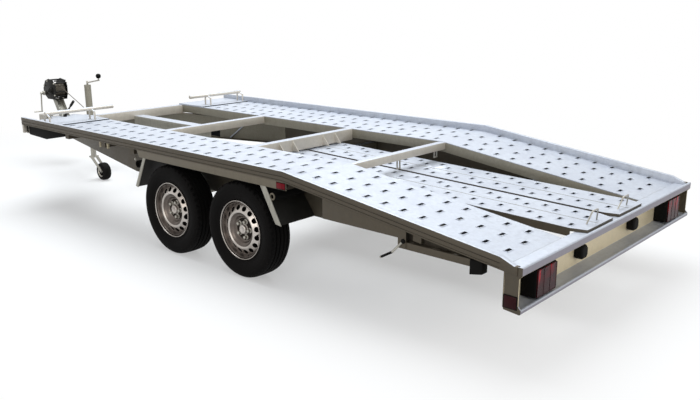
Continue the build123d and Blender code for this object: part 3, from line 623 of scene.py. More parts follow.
# Painted shade in the rails' grooves.
def in_groove(place, normal):
    return groove_y[0] < abs(place.y) < groove_y[1] and normal.y * place.y > 0.1


# Painted shade inside the hollow beam.
def in_hollow(place, normal):
    inner_wall = normal.y * place.y < -0.01
    return abs(place.y) < hollow_half_width and (inner_wall or normal.z < -0.5)


def crossmember_zone(place, normal):
    """2 on the end plates, painted shade; 1 on top, a painted highlight; 3 on the rear lip, painted
    shade; 0 on the sill, painted warm bounce light.
    """
    if abs(place.y) > end_plate_y and abs(normal.y) > 0.6:
        return 2
    if normal.z > 0.4:
        return 1
    on_lip = normal.x < -0.5 and place.x < along(lip_depth)
    return 3 if on_lip and not sill_heights[0] < place.z < sill_heights[1] else 0


print("rules ready")

# %% [markdown]
# ## Applying the rules
# A part's finishes are numbered in the order in which it gets them, and each face keeps the number
# of its own.

# %% Give the parts their second finishes
# Painted highlight on the upward faces of beams, stringers, plates and wheel stops; painted shade
# inside the hollow centre beam.
for name in ("crossbeams", "inner_stringer_left", "inner_stringer_right", "drawbar_tie_plates",
             "centre_beam", "chassis_crossmembers"):
    give_second_finish(name, plate_steel)
paint_some(finished["centre_beam"], slot_shade, in_hollow)
give_second_finish("wheel_stops", plate_steel, beam_steel)
# Ramps: painted highlight on top, painted shade on the sides. Rails: painted highlight on top and
# inner faces, painted shade in the grooves. Arms: lighter painted shade inside than outside.
for side in ("left", "right"):
    give_second_finish("ramp_" + side, plate_steel, shaded_side_steel)
    give_second_finish("side_rail_" + side, plate_steel, None, rail_is_bright)
    paint_some(finished["side_rail_" + side], groove_shade_steel, in_groove)
    give_second_finish("drawbar_arm_" + side, half_shaded_steel, None, looks_inwards)
# Rear crossmember: painted warm bounce light on the sill, painted highlight on top, painted shade on
# the end plates and the lip.
paint(finished["rear_crossmember"], warm_lit_steel, plate_steel, shaded_side_steel, shaded_lip_steel)
number_faces(finished["rear_crossmember"], crossmember_zone)
# Painted shade: the stays' stub tubes under the guards are made black.
give_second_finish("guard_stays", black_plastic, steel, lambda place, normal: abs(place.y) < stay_paint_y)
give_second_finish("jockey_crank", black_plastic, bright_steel, lambda place, normal: place.z > knob_height)
print("second finishes on", sum(len(part.data.materials) > 1 for part in finished.values()), "parts")

# %% [markdown]
# ## The last beam and its guides
# The beam over the ramps is shallower than the others, so that the ramps slide in beneath it. Its
# lower flange is raised here. Three pairs of flat guides hang from it and keep the ramps apart.
# The small ears on the ramps themselves are cut off and the holes that they leave are filled.

# %% A shallower beam and clean ramps
last_beam = (along(1.47), along(1.57))
upper_half = 0.600
flange_lift = 0.036
for vertex in finished["crossbeams"].data.vertices:
    if last_beam[0] < vertex.co.x < last_beam[1] and vertex.co.z < upper_half:
        vertex.co.z += flange_lift

ramp_slope = 0.0283
ramp_base = 0.5112
ears_from = 1.0


def above_ramp(place, normal):
    """Whether a face belongs to an ear or a handle, which stand on the ramp's sheet."""
    return place.z > ramp_base + ramp_slope * from_lip(place.x) + 0.002


for name in ("ramp_left", "ramp_right"):
    ramp = finished[name]
    edit(ramp)
    pick(ramp, lambda place, normal: from_lip(place.x) > ears_from and above_ramp(place, normal))
    bpy.ops.mesh.delete(type="FACE")
    bpy.ops.mesh.select_all(action="SELECT")
    bpy.ops.mesh.fill_holes(sides=0)
    deselect()
    paint_some(ramp, bright_steel, above_ramp)
    print(name, "faces without the ears", len(ramp.data.polygons))

# %% [markdown]
# ## Turning on a lathe
# Tyres, caps and knobs are turned shapes. We add a circle, then extrude its edge ring by ring and
# scale each new ring, just as one would by hand. The list of rings is the shape's section: the
# distance along the axis and the radius. A closed section, such as a tyre's, ends where it began.

# %% The lathe


def turned(rings, segments=64, closed=False):
    deselect()
    height, radius = rings[0]
    bpy.ops.mesh.primitive_circle_add(vertices=segments, radius=radius, location=(0, 0, height))
    piece = bpy.context.object
    bpy.ops.object.transform_apply(location=True)
    edit(piece)
    for next_height, next_radius in rings[1:]:
        bpy.ops.mesh.extrude_edges_move(TRANSFORM_OT_translate={"value": (0, 0, next_height - height)})
        grow = next_radius / radius
        bpy.ops.transform.resize(value=(grow, grow, 1), center_override=(0, 0, next_height))
        height, radius = next_height, next_radius
    bpy.ops.mesh.select_all(action="SELECT")
    if closed:
        bpy.ops.mesh.remove_doubles(threshold=0.00005)
    else:
        bpy.ops.mesh.fill_holes(sides=0)
    bpy.ops.mesh.select_all(action="SELECT")
    bpy.ops.mesh.normals_make_consistent(inside=False)
    bpy.ops.object.mode_set(mode="OBJECT")
    return piece


def facing(centre, direction):
    """The matrix that stands a piece at a place with its axis along a direction."""
    turn = Vector(direction).to_track_quat("Z", "Y").to_matrix().to_4x4()
    return Matrix.Translation(centre) @ turn


print("lathe ready")

# %% [markdown]
# ## Tyres
# The carcass is turned: bead, a fine ring above it, the bulging side wall, a square shoulder and a
# tread with four grooves. Side lugs are then pushed in on the shoulder. Only a few of them come
# out: every other face is chosen, but the selection counts corners, and a face that isn't chosen
# takes away the corners it shares. One tyre is made and copied four times; the right-hand ones are
# turned round, not mirrored.

# %% One tyre, then four
side_rings = [
    (0.0571, 0.1654), (0.0571, 0.1832), (0.0640, 0.1864), (0.0676, 0.1905), (0.0668, 0.1950),
    (0.0735, 0.2090), (0.0790, 0.2240), (0.0817, 0.2400), (0.0824, 0.2490), (0.0812, 0.2550),
    (0.0820, 0.2575), (0.0803, 0.2660), (0.0768, 0.2790), (0.0715, 0.2880), (0.0640, 0.2935),
    (0.0585, 0.2950), (0.0465, 0.2968), (0.0460, 0.2900), (0.0390, 0.2900), (0.0385, 0.2972),
    (0.0190, 0.2979), (0.0185, 0.2908), (0.0115, 0.2908), (0.0110, 0.2979),
]
tyre_rings = side_rings + [(-along_axis, radius) for along_axis, radius in reversed(side_rings)]
tyre_segments = 96
lug_band, lug_radius, lug_depth = (0.0475, 0.0700), 0.288, 0.0035
tyre = turned(tyre_rings + tyre_rings[:1], tyre_segments, closed=True)
edit(tyre)
shape = bmesh.from_edit_mesh(tyre.data)
for face in shape.faces:
    middle = face.calc_center_median()
    step = int((math.atan2(middle.y, middle.x) / math.tau % 1) * tyre_segments)
    on_shoulder = lug_band[0] < abs(middle.z) < lug_band[1] and middle.xy.length > lug_radius
    face.select = on_shoulder and step % 2 == 0
shape.select_flush_mode()
bmesh.update_edit_mesh(tyre.data)
bpy.ops.mesh.extrude_region_shrink_fatten(TRANSFORM_OT_shrink_fatten={"value": -lug_depth})
deselect()
print("tyre faces", len(tyre.data.polygons))

wheel_matrices = {
    f"{end}_{side}": facing((along(distance), sign * wheel_centre, tyre_radius), (0, sign, 0))
    for end, distance in wheel_places.items()
    for side, sign in (("left", 1), ("right", -1))
}


def fit_to_wheels(piece, part, ending, finish=None, replaces=True, smooth=40):
    """Copy a piece made at the origin to each wheel, then remove the first one."""
    for place_name, matrix in wheel_matrices.items():
        exact = f"{part}_{place_name}"
        stands_for = (exact,) if replaces else ()
        twin = twin_of(piece, matrix)
        settle(twin, f"{exact}_{ending}", finish, f"wheel_{place_name}", stands_for, smooth)
    bpy.data.objects.remove(piece)


fit_to_wheels(tyre, "tyre", "tread", tyre_rubber)
print("tyres", len(wheel_matrices))

# %% [markdown]
# ## Pressed steel rims
# A rim is two pressings: a barrel with a rolled flange, and a disc that rises in a cone to a crest
# and falls into a deep dome with the hub face at its bottom. The lathe turns the section in one go.
# Sixteen round holes are punched square to the cone, by a boolean with sixteen rods.

# %% One rim and its holes
rim_rings = [
    (0.0600, 0.1828), (0.0655, 0.1828), (0.0700, 0.1822), (0.0714, 0.1803), (0.0706, 0.1782),
    (0.0665, 0.1768), (0.0640, 0.1745), (0.0634, 0.1705), (0.0646, 0.1690), (0.0640, 0.1668),
    (0.0570, 0.1640), (0.0490, 0.1612), (0.0430, 0.1580), (0.0405, 0.1560),
    (0.0400, 0.1545), (0.0420, 0.1520), (0.0610, 0.1200), (0.0640, 0.1165), (0.0650, 0.1130),
    (0.0640, 0.1090), (0.0590, 0.1040), (0.0500, 0.0960), (0.0460, 0.0900), (0.0445, 0.0850),
    (0.0380, 0.0800), (0.0315, 0.0750), (0.0300, 0.0710), (0.0300, 0.0310), (0.0260, 0.0310),
    (0.0260, 0.0735), (0.0290, 0.0780), (0.0410, 0.0870), (0.0470, 0.0985), (0.0560, 0.1065),
    (0.0605, 0.1110), (0.0605, 0.1140), (0.0580, 0.1170), (0.0380, 0.1505), (0.0340, 0.1530),
    (-0.0600, 0.1540), (-0.0640, 0.1600), (-0.0655, 0.1828), (-0.0620, 0.1828), (-0.0590, 0.1656),
    (0.0580, 0.1656), (0.0600, 0.1828),
]
rim = turned(rim_rings, 96, closed=True)
hole_count = 16
hole_radius = 0.0170
hole_place, hole_aim = (0.1362, 0, 0.0510), (0.51, 0, 0.86)
punches = []
for number in range(hole_count):
    punch = turned([(-0.03, hole_radius), (0.03, hole_radius)], 20)
    turn = Matrix.Rotation(math.tau * (number + 0.5) / hole_count, 4, "Z")
    punch.matrix_world = turn @ facing(hole_place, hole_aim)
    punches.append(punch)
punch = join(punches)
only(punch)
bpy.ops.object.transform_apply(location=True, rotation=True, scale=True)
only(rim)
bpy.ops.object.modifier_add(type="BOOLEAN")
rim.modifiers[-1].operation = "DIFFERENCE"
rim.modifiers[-1].object = punch
rim.modifiers[-1].solver = "EXACT"
bpy.ops.object.modifier_apply(modifier=rim.modifiers[-1].name)
bpy.data.objects.remove(punch)
print("rim faces", len(rim.data.polygons))

# %% [markdown]
# ## Drum, brake dust and painted shade
# Behind the holes sits the brake drum, brown with dust and dark as painted shade, which is why the
# holes look black. The rest of the rim gets a darker copy of its paint, painted shade, and the hole
# walls, the back, the barrel and the groove get the dark brown, painted shade; only the crest of the
# disc and the flange keep the bright paint, where it stands as their highlight.

# %% Drum, back plate and the rim's finishes
drum = turned([
    (-0.0780, 0.030), (-0.0780, 0.104), (-0.0760, 0.108), (-0.0040, 0.108), (0.0000, 0.104),
    (0.0030, 0.076), (0.0240, 0.072), (0.0255, 0.030),
], 64)
plate_rings = [(-0.0620, 0.100), (-0.0620, 0.1535), (-0.0590, 0.1535), (-0.0590, 0.100)]
back_plate = turned(plate_rings + plate_rings[:1], 64, closed=True)
# Dust colour on drum and back plate, also painted shade behind the holes.
paint(back_plate, brake_dust_and_shade)
paint(drum, brake_dust_and_shade)


def rim_zone(place, normal):
    """1 dark brown, painted shade, on hole walls, back, barrel and groove; 2 the bright crest and
    flange; 0 the rest, in a darker paint, painted shade.
    """
    radius, outward = place.xy.length, normal.z
    hole_wall = 0.118 < radius < 0.1525 and abs(outward) < 0.7 and 0.036 < place.z < 0.0625
    back = outward < -0.1 and radius < 0.153
    barrel = place.z < 0.034 and 0.080 < radius < 0.1545
    groove = 0.1700 < radius < 0.1765 and place.z > 0.0625
    if hole_wall or back or barrel or groove:
        return 1
    crest = place.z > 0.0410 and 0.1020 < radius < 0.1525 and outward > 0.3
    flange = radius > 0.1765 and place.z > 0.0590
    return 2 if crest or flange else 0


paint(rim, rim_shaded_paint, brake_dust_and_shade, rim_paint)
number_faces(rim, rim_zone)
rim = join([rim, drum, back_plate])
print("rim and drum faces", len(rim.data.polygons))
fit_to_wheels(rim, "rim", "pressed", smooth=32)

# %% [markdown]
# ## Wheel nuts, hub cap and valve
# In the bowl of each rim sit five cone-seated nuts round a pressed hub cap, over a dark disc on the
# hub face, a painted shadow.
# A nut is a six-sided cylinder whose end is inset and pulled out to a dome. The valve is a small
# turned rubber stem near the rim's edge.

# %% Nuts, caps and valves
hub_face = 0.0300
nut_count = 5
bolt_circle = 0.050
nut_place = (0, 0, hub_face + 0.012)
bpy.ops.mesh.primitive_cylinder_add(vertices=6, radius=0.0110, depth=0.016, location=nut_place)
nut = bpy.context.object
bpy.ops.object.transform_apply(location=True)
edit(nut)
pick(nut, lambda place, normal: normal.z > 0.9)
for step, rise in ((0.002, 0.0025), (0.003, 0.001)):
    bpy.ops.mesh.inset(thickness=step)
    bpy.ops.transform.translate(value=(0, 0, rise))
deselect()
seat = turned([(hub_face, 0.0165), (hub_face + 0.003, 0.0155), (hub_face + 0.005, 0.0115)], 24)
nut = join([nut, seat])
paint(nut, bright_steel)

hub_shadow = turned([(0.0296, 0.0700), (0.0304, 0.0690), (0.0304, 0.0340), (0.0296, 0.0335)], 48)
paint(hub_shadow, brake_dust_and_shade)
cap = turned([
    (0.0280, 0.0330), (0.0330, 0.0330), (0.0345, 0.0290), (0.0470, 0.0282),
    (0.0500, 0.0262), (0.0515, 0.0215), (0.0510, 0.0150), (0.0495, 0.0130), (0.0495, 0.0010),
], 40)
paint(cap, rim_paint)
valve = turned([(0.040, 0.0045), (0.052, 0.0042), (0.068, 0.0034), (0.069, 0.0028)], 12)
valve.matrix_world = Matrix.Translation((0.1575, 0, 0.004)) @ valve.matrix_world
paint(valve, rubber)

out = Matrix.Translation((bolt_circle, 0, 0))
turns = [Matrix.Rotation(math.tau * number / nut_count, 4, "Z") for number in range(nut_count)]
trim = join([*(twin_of(nut, turn @ out) for turn in turns), cap, valve, hub_shadow])
bpy.data.objects.remove(nut)
fit_to_wheels(trim, "rim", "trim", replaces=False)
print("nuts per wheel", nut_count)

# %% [markdown]
# ## Slots with raised lips
# The tracks are punched, not drilled: the tool pushes the sheet up into a small lip round each slot
# and leaves a collar below. The collar hides the floor at a low angle, and its lower part is near
# black, painted shade, so the slots look black. One lip is a slab whose top is inset and pushed down
# through the sheet.

# %% One lip
slot_width = 0.020
slot_length = 0.044
lip_rise = 0.0024
lip_wall = 0.0042
collar = 0.013


def pressed_lip(length):
    """A lip round one slot: the slot lies across the trailer, its lip stands on the sheet."""
    deselect()
    bpy.ops.mesh.primitive_cube_add(size=1, location=(0, 0, lip_rise / 2))
    lip = bpy.context.object
    lip.scale = (slot_width + 2 * lip_wall, length + 2 * lip_wall, lip_rise)
    bpy.ops.object.transform_apply(location=True, scale=True)
    edit(lip)
    shape = bmesh.from_edit_mesh(lip.data)
    for edge in shape.edges:
        edge.select = abs(edge.verts[0].co.z - edge.verts[1].co.z) > lip_rise / 2
    bmesh.update_edit_mesh(lip.data)
    bpy.ops.mesh.bevel(offset=0.006, segments=2)
    pick(lip, lambda place, normal: normal.z < -0.9)
    bpy.ops.mesh.delete(type="FACE")
    pick(lip, lambda place, normal: normal.z > 0.9)
    bpy.ops.mesh.inset(thickness=0.0026)
    bpy.ops.mesh.inset(thickness=0.0020)
    bpy.ops.mesh.extrude_region_move(TRANSFORM_OT_translate={"value": (0, 0, -collar)})
    bpy.ops.mesh.delete(type="FACE")
    deselect()
    paint(lip, plate_steel, slot_shade)
    # Painted shade on the lower part of the collar.
    number_faces(lip, lambda place, normal: place.z < -collar / 4)
    return lip


def on_sheet(distance, y, height, slope):
    """The matrix that lays a lip on a sheet that climbs forward by the slope."""
    tilt = Matrix.Rotation(-math.atan(slope), 4, "Y")
    return Matrix.Translation((along(distance), y, height)) @ tilt


print("a lip's collar reaches down", collar)

# %% [markdown]
# ## Slots of the tracks
# The lip is copied to every slot, on the flat and on the slope, by the same pitch and rows as the
# punching tool's. The outer rows are shifted by half a pitch, so the slots stand staggered.

# %% Lips on the tracks
track_inner = 0.483
first_slot = 0.187
slot_pitch = 0.1235
row_places = [track_inner + 0.075 + 0.150 * row for row in range(4)]
staggered_rows = (0, 3)
sheet_edge = slot_width * 1.5
sheet_table = [(0.104, bend, deck_slope), (bend, 4.204, 0)]
lip = pressed_lip(slot_length)
lips = []
for sheet_rear, sheet_front, slope in sheet_table:
    for row, y in enumerate(row_places):
        distance = first_slot + (slot_pitch / 2 if row in staggered_rows else 0)
        while distance < sheet_front - sheet_edge:
            if distance > sheet_rear + sheet_edge:
                for sign in (1, -1):
                    lips.append(twin_of(lip, on_sheet(distance, sign * y, deck_line(distance), slope)))
            distance += slot_pitch
print("track slots", len(lips))
settle(join(lips), "track_slot_lips")
bpy.data.objects.remove(lip)

# %% [markdown]
# ## Slots of the ramps
# The ramps are punched by a wider pitch, in two rows on each plank, with shorter slots.

# %% Lips on the ramps
ramp_inner = 0.015
first_ramp_slot = 0.139
last_ramp_slot = 2.420 - 0.044
ramp_pitch = 0.178
ramp_rows = ((0.072, 0.089), (0.120, 0), (0.247, 0.091), (0.302, 0))
lip = pressed_lip(0.036)
lips = []
for offset, shift in ramp_rows:
    distance = first_ramp_slot + shift
    while distance < last_ramp_slot:
        height = ramp_base + ramp_slope * distance
        for sign in (1, -1):
            y = sign * (ramp_inner + offset)
            lips.append(twin_of(lip, on_sheet(distance, y, height, ramp_slope)))
        distance += ramp_pitch
print("ramp slots", len(lips))
settle(join(lips), "ramp_slot_lips")
bpy.data.objects.remove(lip)

# %% [markdown]
# ## Blocks and bars
# Many small parts are a bar of flat steel or a length of rod. A bar begins as a cube at its size and
# place, and its edges are then bevelled, because cut steel and moulded plastic are never sharp. A
# rod is turned, with eased ends. Distances are given as a maker would: millimetres from the rear lip, from the middle line
# and from the ground. What stands on both sides is given once, outwards from the middle line.

# %% Blocks and rods


def block(low, high, rounding=1.0, steps=2):
    """A bevelled block between two corners in millimetres; x counts from the rear lip."""
    deselect()
    middle = [(a + b) / 2000 for a, b in zip(low, high)]
    bpy.ops.mesh.primitive_cube_add(size=1, location=(along(middle[0]), *middle[1:]))
    piece = bpy.context.object
    piece.scale = [(b - a) / 1000 for a, b in zip(low, high)]
    bpy.ops.object.transform_apply(location=True, scale=True)
    edit(piece)
    bpy.ops.mesh.bevel(offset=rounding / 1000, segments=steps)
    deselect()
    return piece


def block_on(sign, low, high, rounding=1.0, steps=2):
    """A block on the side of the sign, whose y is counted outwards from the middle line."""
    ends = sorted((sign * low[1], sign * high[1]))
    return block((low[0], ends[0], low[2]), (high[0], ends[1], high[2]), rounding, steps)


def spot(x, y, z):
    """A point from millimetres; x counts from the rear lip."""
    return Vector((along(x / 1000), y / 1000, z / 1000))


def rod(start, end, radius, rounding=0.3, sides=20):
    """A rod between two points in millimetres, with its ends eased."""
    start, end = spot(*start), spot(*end)
    length = (end - start).length
    radius, ease = radius / 1000, rounding * radius / 1000
    section = [(0, radius - ease), (ease, radius), (length - ease, radius), (length, radius - ease)]
    piece = turned(section, sides)
    piece.matrix_world = facing(start, end - start)
    return piece


print("blocks and rods ready")

# %% [markdown]
# ## Bolts
# A bolt is a bevelled six-sided head on a thin turned washer. It is made once and copied.

# %% One bolt
bpy.ops.mesh.primitive_cylinder_add(vertices=6, radius=0.0105, depth=0.008, location=(0, 0, 0.006))
head = bpy.context.object
bpy.ops.object.transform_apply(location=True)
edit(head)
bpy.ops.mesh.bevel(offset=0.0008, segments=1)
deselect()
washer = turned([(0, 0.0125), (0.0018, 0.0130), (0.0024, 0.0125)], 24)
bolt = join([head, washer])


def bolts_at(places, direction, size=1.0):
    """Bolts at points in millimetres, all facing one way."""
    return [twin_of(bolt, facing(spot(*place), direction) @ Matrix.Scale(size, 4)) for place in places]


print("bolt faces", len(bolt.data.polygons))

# %% [markdown]
# ## Lamps
# Each rear lamp is a dark housing with one lens over it. The lens is in three parts with a fine
# groove between them, and each part has a raised rim.

# %% Lenses of the rear lamps
lamp_low, lamp_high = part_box("rear_lamps")
lamp_bottom, lamp_top = lamp_low.z * 1000 + 3, lamp_high.z * 1000 - 3
lamp_outer = lamp_high.y * 1000 - 3
lens_count, lens_pitch, lens_width = 3, 60.0, 59.0
for side, sign in (("left", 1), ("right", -1)):
    parts = []
    for number in range(lens_count):
        outer = lamp_outer - number * lens_pitch
        low, high = (6, outer - lens_width, lamp_bottom), (16, outer, lamp_top)
        lens_part = block_on(sign, low, high, 1.4, 3)
        edit(lens_part)
        pick(lens_part, lambda place, normal: normal.x < -0.9)
        bpy.ops.mesh.inset(thickness=0.004)
        bpy.ops.transform.translate(value=(0.0015, 0, 0))
        deselect()
        parts.append(lens_part)
    settle(join(parts), f"rear_lens_{side}", red_lens)
print("lenses of a lamp", lens_count)

# %% [markdown]
# ## Reflectors
# The markers on the skirts and end plates are small reflectors in a black tray. The exact part holds
# all four, so its points are sorted by side and by end, and each heap gives one tray and one lens.

# %% Trays and lenses of the reflectors
clusters = {}
for vertex in nodes["side_reflectors"].data.vertices:
    key = (vertex.co.x > along(1.0), vertex.co.y > 0)
    clusters.setdefault(key, []).append(vertex.co * 1000)
trays, lenses = [], []
for (on_skirt, on_left), points in clusters.items():
    sign = 1 if on_left else -1
    outwards = [sign * point.y for point in points]
    inside, outside = min(outwards), max(outwards)
    rear, front = (end(point.x for point in points) + overall_length * 500 for end in (min, max))
    low_z, high_z = (end(point.z for point in points) for end in (min, max))
    trays.append(block_on(sign, (rear, inside, low_z), (front, outside - 1.5, high_z), 1.5))
    low, high = (rear + 4, outside - 6, low_z + 4), (front - 4, outside - 0.2, high_z - 4)
    lens_part = block_on(sign, low, high, 1.2)
    paint(lens_part, marker_lens if on_skirt else dark_red_lens)
    lenses.append(lens_part)
settle(join(trays), "reflector_trays", black_plastic, "chassis", ("side_reflectors",))
settle(join(lenses), "reflector_lenses")
print("reflectors", len(lenses))

# %% [markdown]
# ## Front plates
# Ahead of the slotted sheet each track ends in a plain plate. It lies on top of the sheet, and its
# rear edge is folded down; that fold is near black, painted shade, so from behind it shows as one dark
# line across the track. The corner box under each plate has a closed nose.

# %% Plain plates at the front of each track
for side, sign in (("left", 1), ("right", -1)):
    plate = block_on(sign, (4206, 486, 670), (4578, 1030, 681))
    paint(plate, plate_steel, slot_shade)
    # Painted shade on the folded rear edge.
    number_faces(plate, lambda place, normal: normal.x < -0.5)
    settle(plate, f"front_plate_{side}")

noses = [block_on(sign, (4510, 900, 590), (4566, 1031, 668), 4.0, 3) for sign in (1, -1)]
settle(join(noses), "corner_box_noses", black_plastic)
print("front plates and corner boxes closed")

# %% [markdown]
# ## Winch
# The winch has two pressed cheeks, tied by rods, with the drum between them. The steel cable lies
# on the drum in turns side by side. On the near cheek sits the gear case, and bolts hold both cheeks
# and the foot. One turn of cable is a thin torus; the rest are copies that lean to and fro a little.

# %% Cable turns, gear case and bolts
winch_x, winch_z = 6000, 745
cheek_y = 66
turn_count, turn_pitch = 15, 7.2
deselect()
bpy.ops.mesh.primitive_torus_add(
    major_radius=0.0675, minor_radius=0.0034, major_segments=56, minor_segments=8, location=(0, 0, 0)
)
turn = bpy.context.object
turns = []
for number in range(turn_count):
    y = (number - turn_count // 2) * turn_pitch
    place = facing(spot(winch_x, y, winch_z), (0, 1, 0))
    lean = Matrix.Rotation(math.radians(1.6 if number % 2 else -1.2), 4, "X")
    turns.append(twin_of(turn, place @ lean))
bpy.data.objects.remove(turn)
settle(join(turns), "wound_cable", cable_steel)

gear = turned([
    (0, 0.040), (0.004, 0.042), (0.009, 0.040), (0.011, 0.031), (0.020, 0.029), (0.024, 0.024),
    (0.026, 0.012), (0.034, 0.011), (0.035, 0.009),
], 48)
gear.matrix_world = facing(spot(winch_x, cheek_y, winch_z), (0, 1, 0))
settle(gear, "winch_gear_case", black_paint)

hub = turned([
    (0, 0.022), (0.003, 0.023), (0.022, 0.023), (0.026, 0.020), (0.027, 0.012), (0.040, 0.011),
    (0.042, 0.009),
], 32)
hub.matrix_world = facing(spot(6128, cheek_y, 712), (0, 1, 0))
cheek_bolts = []
for sign in (1, -1):
    places = [(x, sign * cheek_y, z) for x, z in ((5925, 820), (6060, 838), (6130, 790), (5925, 700))]
    cheek_bolts += bolts_at(places, (0, sign, 0), 0.8)
cheek_bolts += bolts_at([(x, y, 661) for x in (5950, 6070) for y in (30, -30)], (0, 0, 1), 0.9)
settle(join([hub, *cheek_bolts]), "winch_bolts", bright_steel)

tie_places = ((5925, 845, 7), (6085, 845, 7), (5922, 735, 6))
ties = [rod((x, -62, z), (x, 62, z), radius) for x, z, radius in tie_places]
settle(join(ties), "winch_tie_rods", black_paint)
print("winch turns", len(turns))

# %% [markdown]
# ## Jockey wheel and its knob
# The jockey wheel is a solid black tyre on a dished steel rim, so only a narrow bright ring shows.
# Tyre and rim are both turned and laid on the wheel's own axis. The crank's knob is a black ball.

# %% Jockey wheel and knob
wheel_low, wheel_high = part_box("jockey_wheel")
half = (wheel_high.y - wheel_low.y) / 2
tread_radius = (wheel_high.z - wheel_low.z) / 2
tread = [(-half, 0.050), (-half, 0.064)]
tread += [(-half * 0.8, tread_radius - 0.005), (-half * 0.4, tread_radius)]
tread += [(-across, radius) for across, radius in reversed(tread)]
solid_tyre = turned(tread + tread[:1], 64, closed=True)
paint(solid_tyre, rubber)
dish = [(-half * 0.85, 0.010), (-half * 0.85, 0.015), (-half * 0.35, 0.018), (-half * 0.3, 0.034),
        (-half * 0.7, 0.040), (-half * 0.9, 0.0502)]
dish += [(-across, radius) for across, radius in reversed(dish)]
dished_rim = turned(dish, 64)
paint(dished_rim, bright_steel, black_paint)
number_faces(dished_rim, lambda place, normal: 0.016 < place.xy.length < 0.037 or abs(normal.z) > 0.9)
small_wheel = join([solid_tyre, dished_rim])
small_wheel.matrix_world = facing((wheel_low + wheel_high) / 2, (0, 1, 0))
settle(small_wheel, "jockey_wheel_turned", None, "jockey_wheel", ("jockey_wheel",))

knob_slimming = 0.6
knob_top = 0.984
ball_height = 0.043
crank_points = [vertex.co for vertex in nodes["jockey_crank"].data.vertices]
knob_points = [point for point in crank_points if point.z > knob_height]
spans = [[point[axis] for point in knob_points] for axis in range(2)]
knob_x, knob_y = ((min(span) + max(span)) / 2 for span in spans)
for vertex in finished["jockey_crank"].data.vertices:
    if vertex.co.z > knob_height + 0.001:
        vertex.co.x = knob_x + (vertex.co.x - knob_x) * knob_slimming
        vertex.co.y = knob_y + (vertex.co.y - knob_y) * knob_slimming
        vertex.co.z = min(vertex.co.z, knob_top)
ball = turned([
    (0, 0.008), (0.002, 0.013), (0.007, 0.0185), (0.014, 0.0215), (0.022, 0.0225), (0.030, 0.0215),
    (0.037, 0.0175), (0.041, 0.011), (ball_height, 0.004),
], 32)
ball.matrix_world = Matrix.Translation((knob_x, knob_y, cad_box[1].z - ball_height))
settle(ball, "crank_knob", black_plastic, nodes["jockey_crank"]["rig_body"])
print("jockey wheel radius", round(tread_radius, 3), "knob at", round(knob_x, 3), round(knob_y, 3))

# %% [markdown]
# ## Lever of the ramp lock
# The lever turns a tube that locks the ramps. It is a round bar with one bend, a black boss at its
# root and a black grip with a bare end. Small parts near it follow on both sides: tabs on the
# outriggers in a warm light steel, painted light, webs in a dark finish, painted shade, that close the
# tail behind the lock tubes, and rings where the stays' tubes end.

# %% Ramp lock lever and small parts of the sides
lever_y = 1053.0
root, elbow, grip_end, tip = (654, 494), (722, 424), (790, 385), (798, 381)


def lever_rod(start, end, radius):
    return rod((start[0], lever_y, start[1]), (end[0], lever_y, end[1]), radius)


bars = [lever_rod(root, elbow, 6), lever_rod(grip_end, tip, 6)]
boss = rod((root[0], 1040, root[1]), (root[0], 1059.5, root[1]), 12)
grip = [lever_rod((elbow[0] - 2, elbow[1] + 1.5), grip_end, 6.5), boss]
for pieces, finish in ((bars, bright_steel), (grip, black_plastic)):
    for piece in pieces:
        paint(piece, finish)
settle(join(bars + grip), "ramp_lock_handle", None, "chassis", ("ramp_lock_lever",))

# Painted light: the tabs get the warm light steel, which keeps them light in the shade.
tabs = [block_on(sign, (front - 8, 1016, 612), (front, 1033, 664))
        for sign in (1, -1) for front in (3342, 3440)]
settle(join(tabs), "outrigger_tabs", warm_lit_steel)

web_middle = 0.480
# Painted shade: the webs are near black, as the gap behind the lock tubes is in shade.
tail_webs = [block_on(sign, (278, 1004, 456), (720, 1010.5, 500), 0.5, 1) for sign in (1, -1)]
for web in tail_webs:
    for vertex in web.data.vertices:
        if vertex.co.z > web_middle:
            vertex.co.z = deck_line(from_lip(vertex.co.x)) - 0.006
settle(join(tail_webs), "tail_webs", groove_shade_steel)

guard_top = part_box("mudguard_left")[1].z
ring_rings = [(0, 0.0125), (0, 0.0215), (0.0045, 0.0215), (0.0045, 0.0125)]
rings = []
for sign in (1, -1):
    ring = turned(ring_rings + ring_rings[:1], 32, closed=True)
    ring.matrix_world = facing((along(1.595), sign * 1.0435, guard_top - 0.055), (0, sign, 0))
    rings.append(ring)
settle(join(rings), "stay_tube_rings", shaded_skirt_steel)
print("outrigger tabs", len(tabs), "rings", len(rings))

# %% [markdown]
# ## Drawbar
# The bellows between housing and coupling is a rubber concertina, which the lathe makes from rings
# that go out and in. Bolts hold the coupling, the housing, the tie plates and the guards' stays, and
# the jockey clamp has a T-handle.

# %% Bellows, bolts and handle
bellows_low, bellows_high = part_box("overrun_bellows")
bellows_length = bellows_high.x - bellows_low.x
folds = 9
valley = 0.0265
rings = [(0, 0.027)]
for number in range(folds):
    start = bellows_length * (number + 0.1) / folds
    ridge = 0.0335 - 0.0035 * number / folds
    rings += [
        (start, valley),
        (start + bellows_length * 0.35 / folds, ridge),
        (start + bellows_length * 0.5 / folds, ridge),
    ]
bellows = turned(rings + [(bellows_length * 0.995, valley)], 40)
middle_z = (bellows_low.z + bellows_high.z) / 2
bellows.matrix_world = facing((bellows_low.x, 0, middle_z), (1, 0, 0))
settle(bellows, "bellows_folds", rubber, "chassis", ("overrun_bellows",), 60)

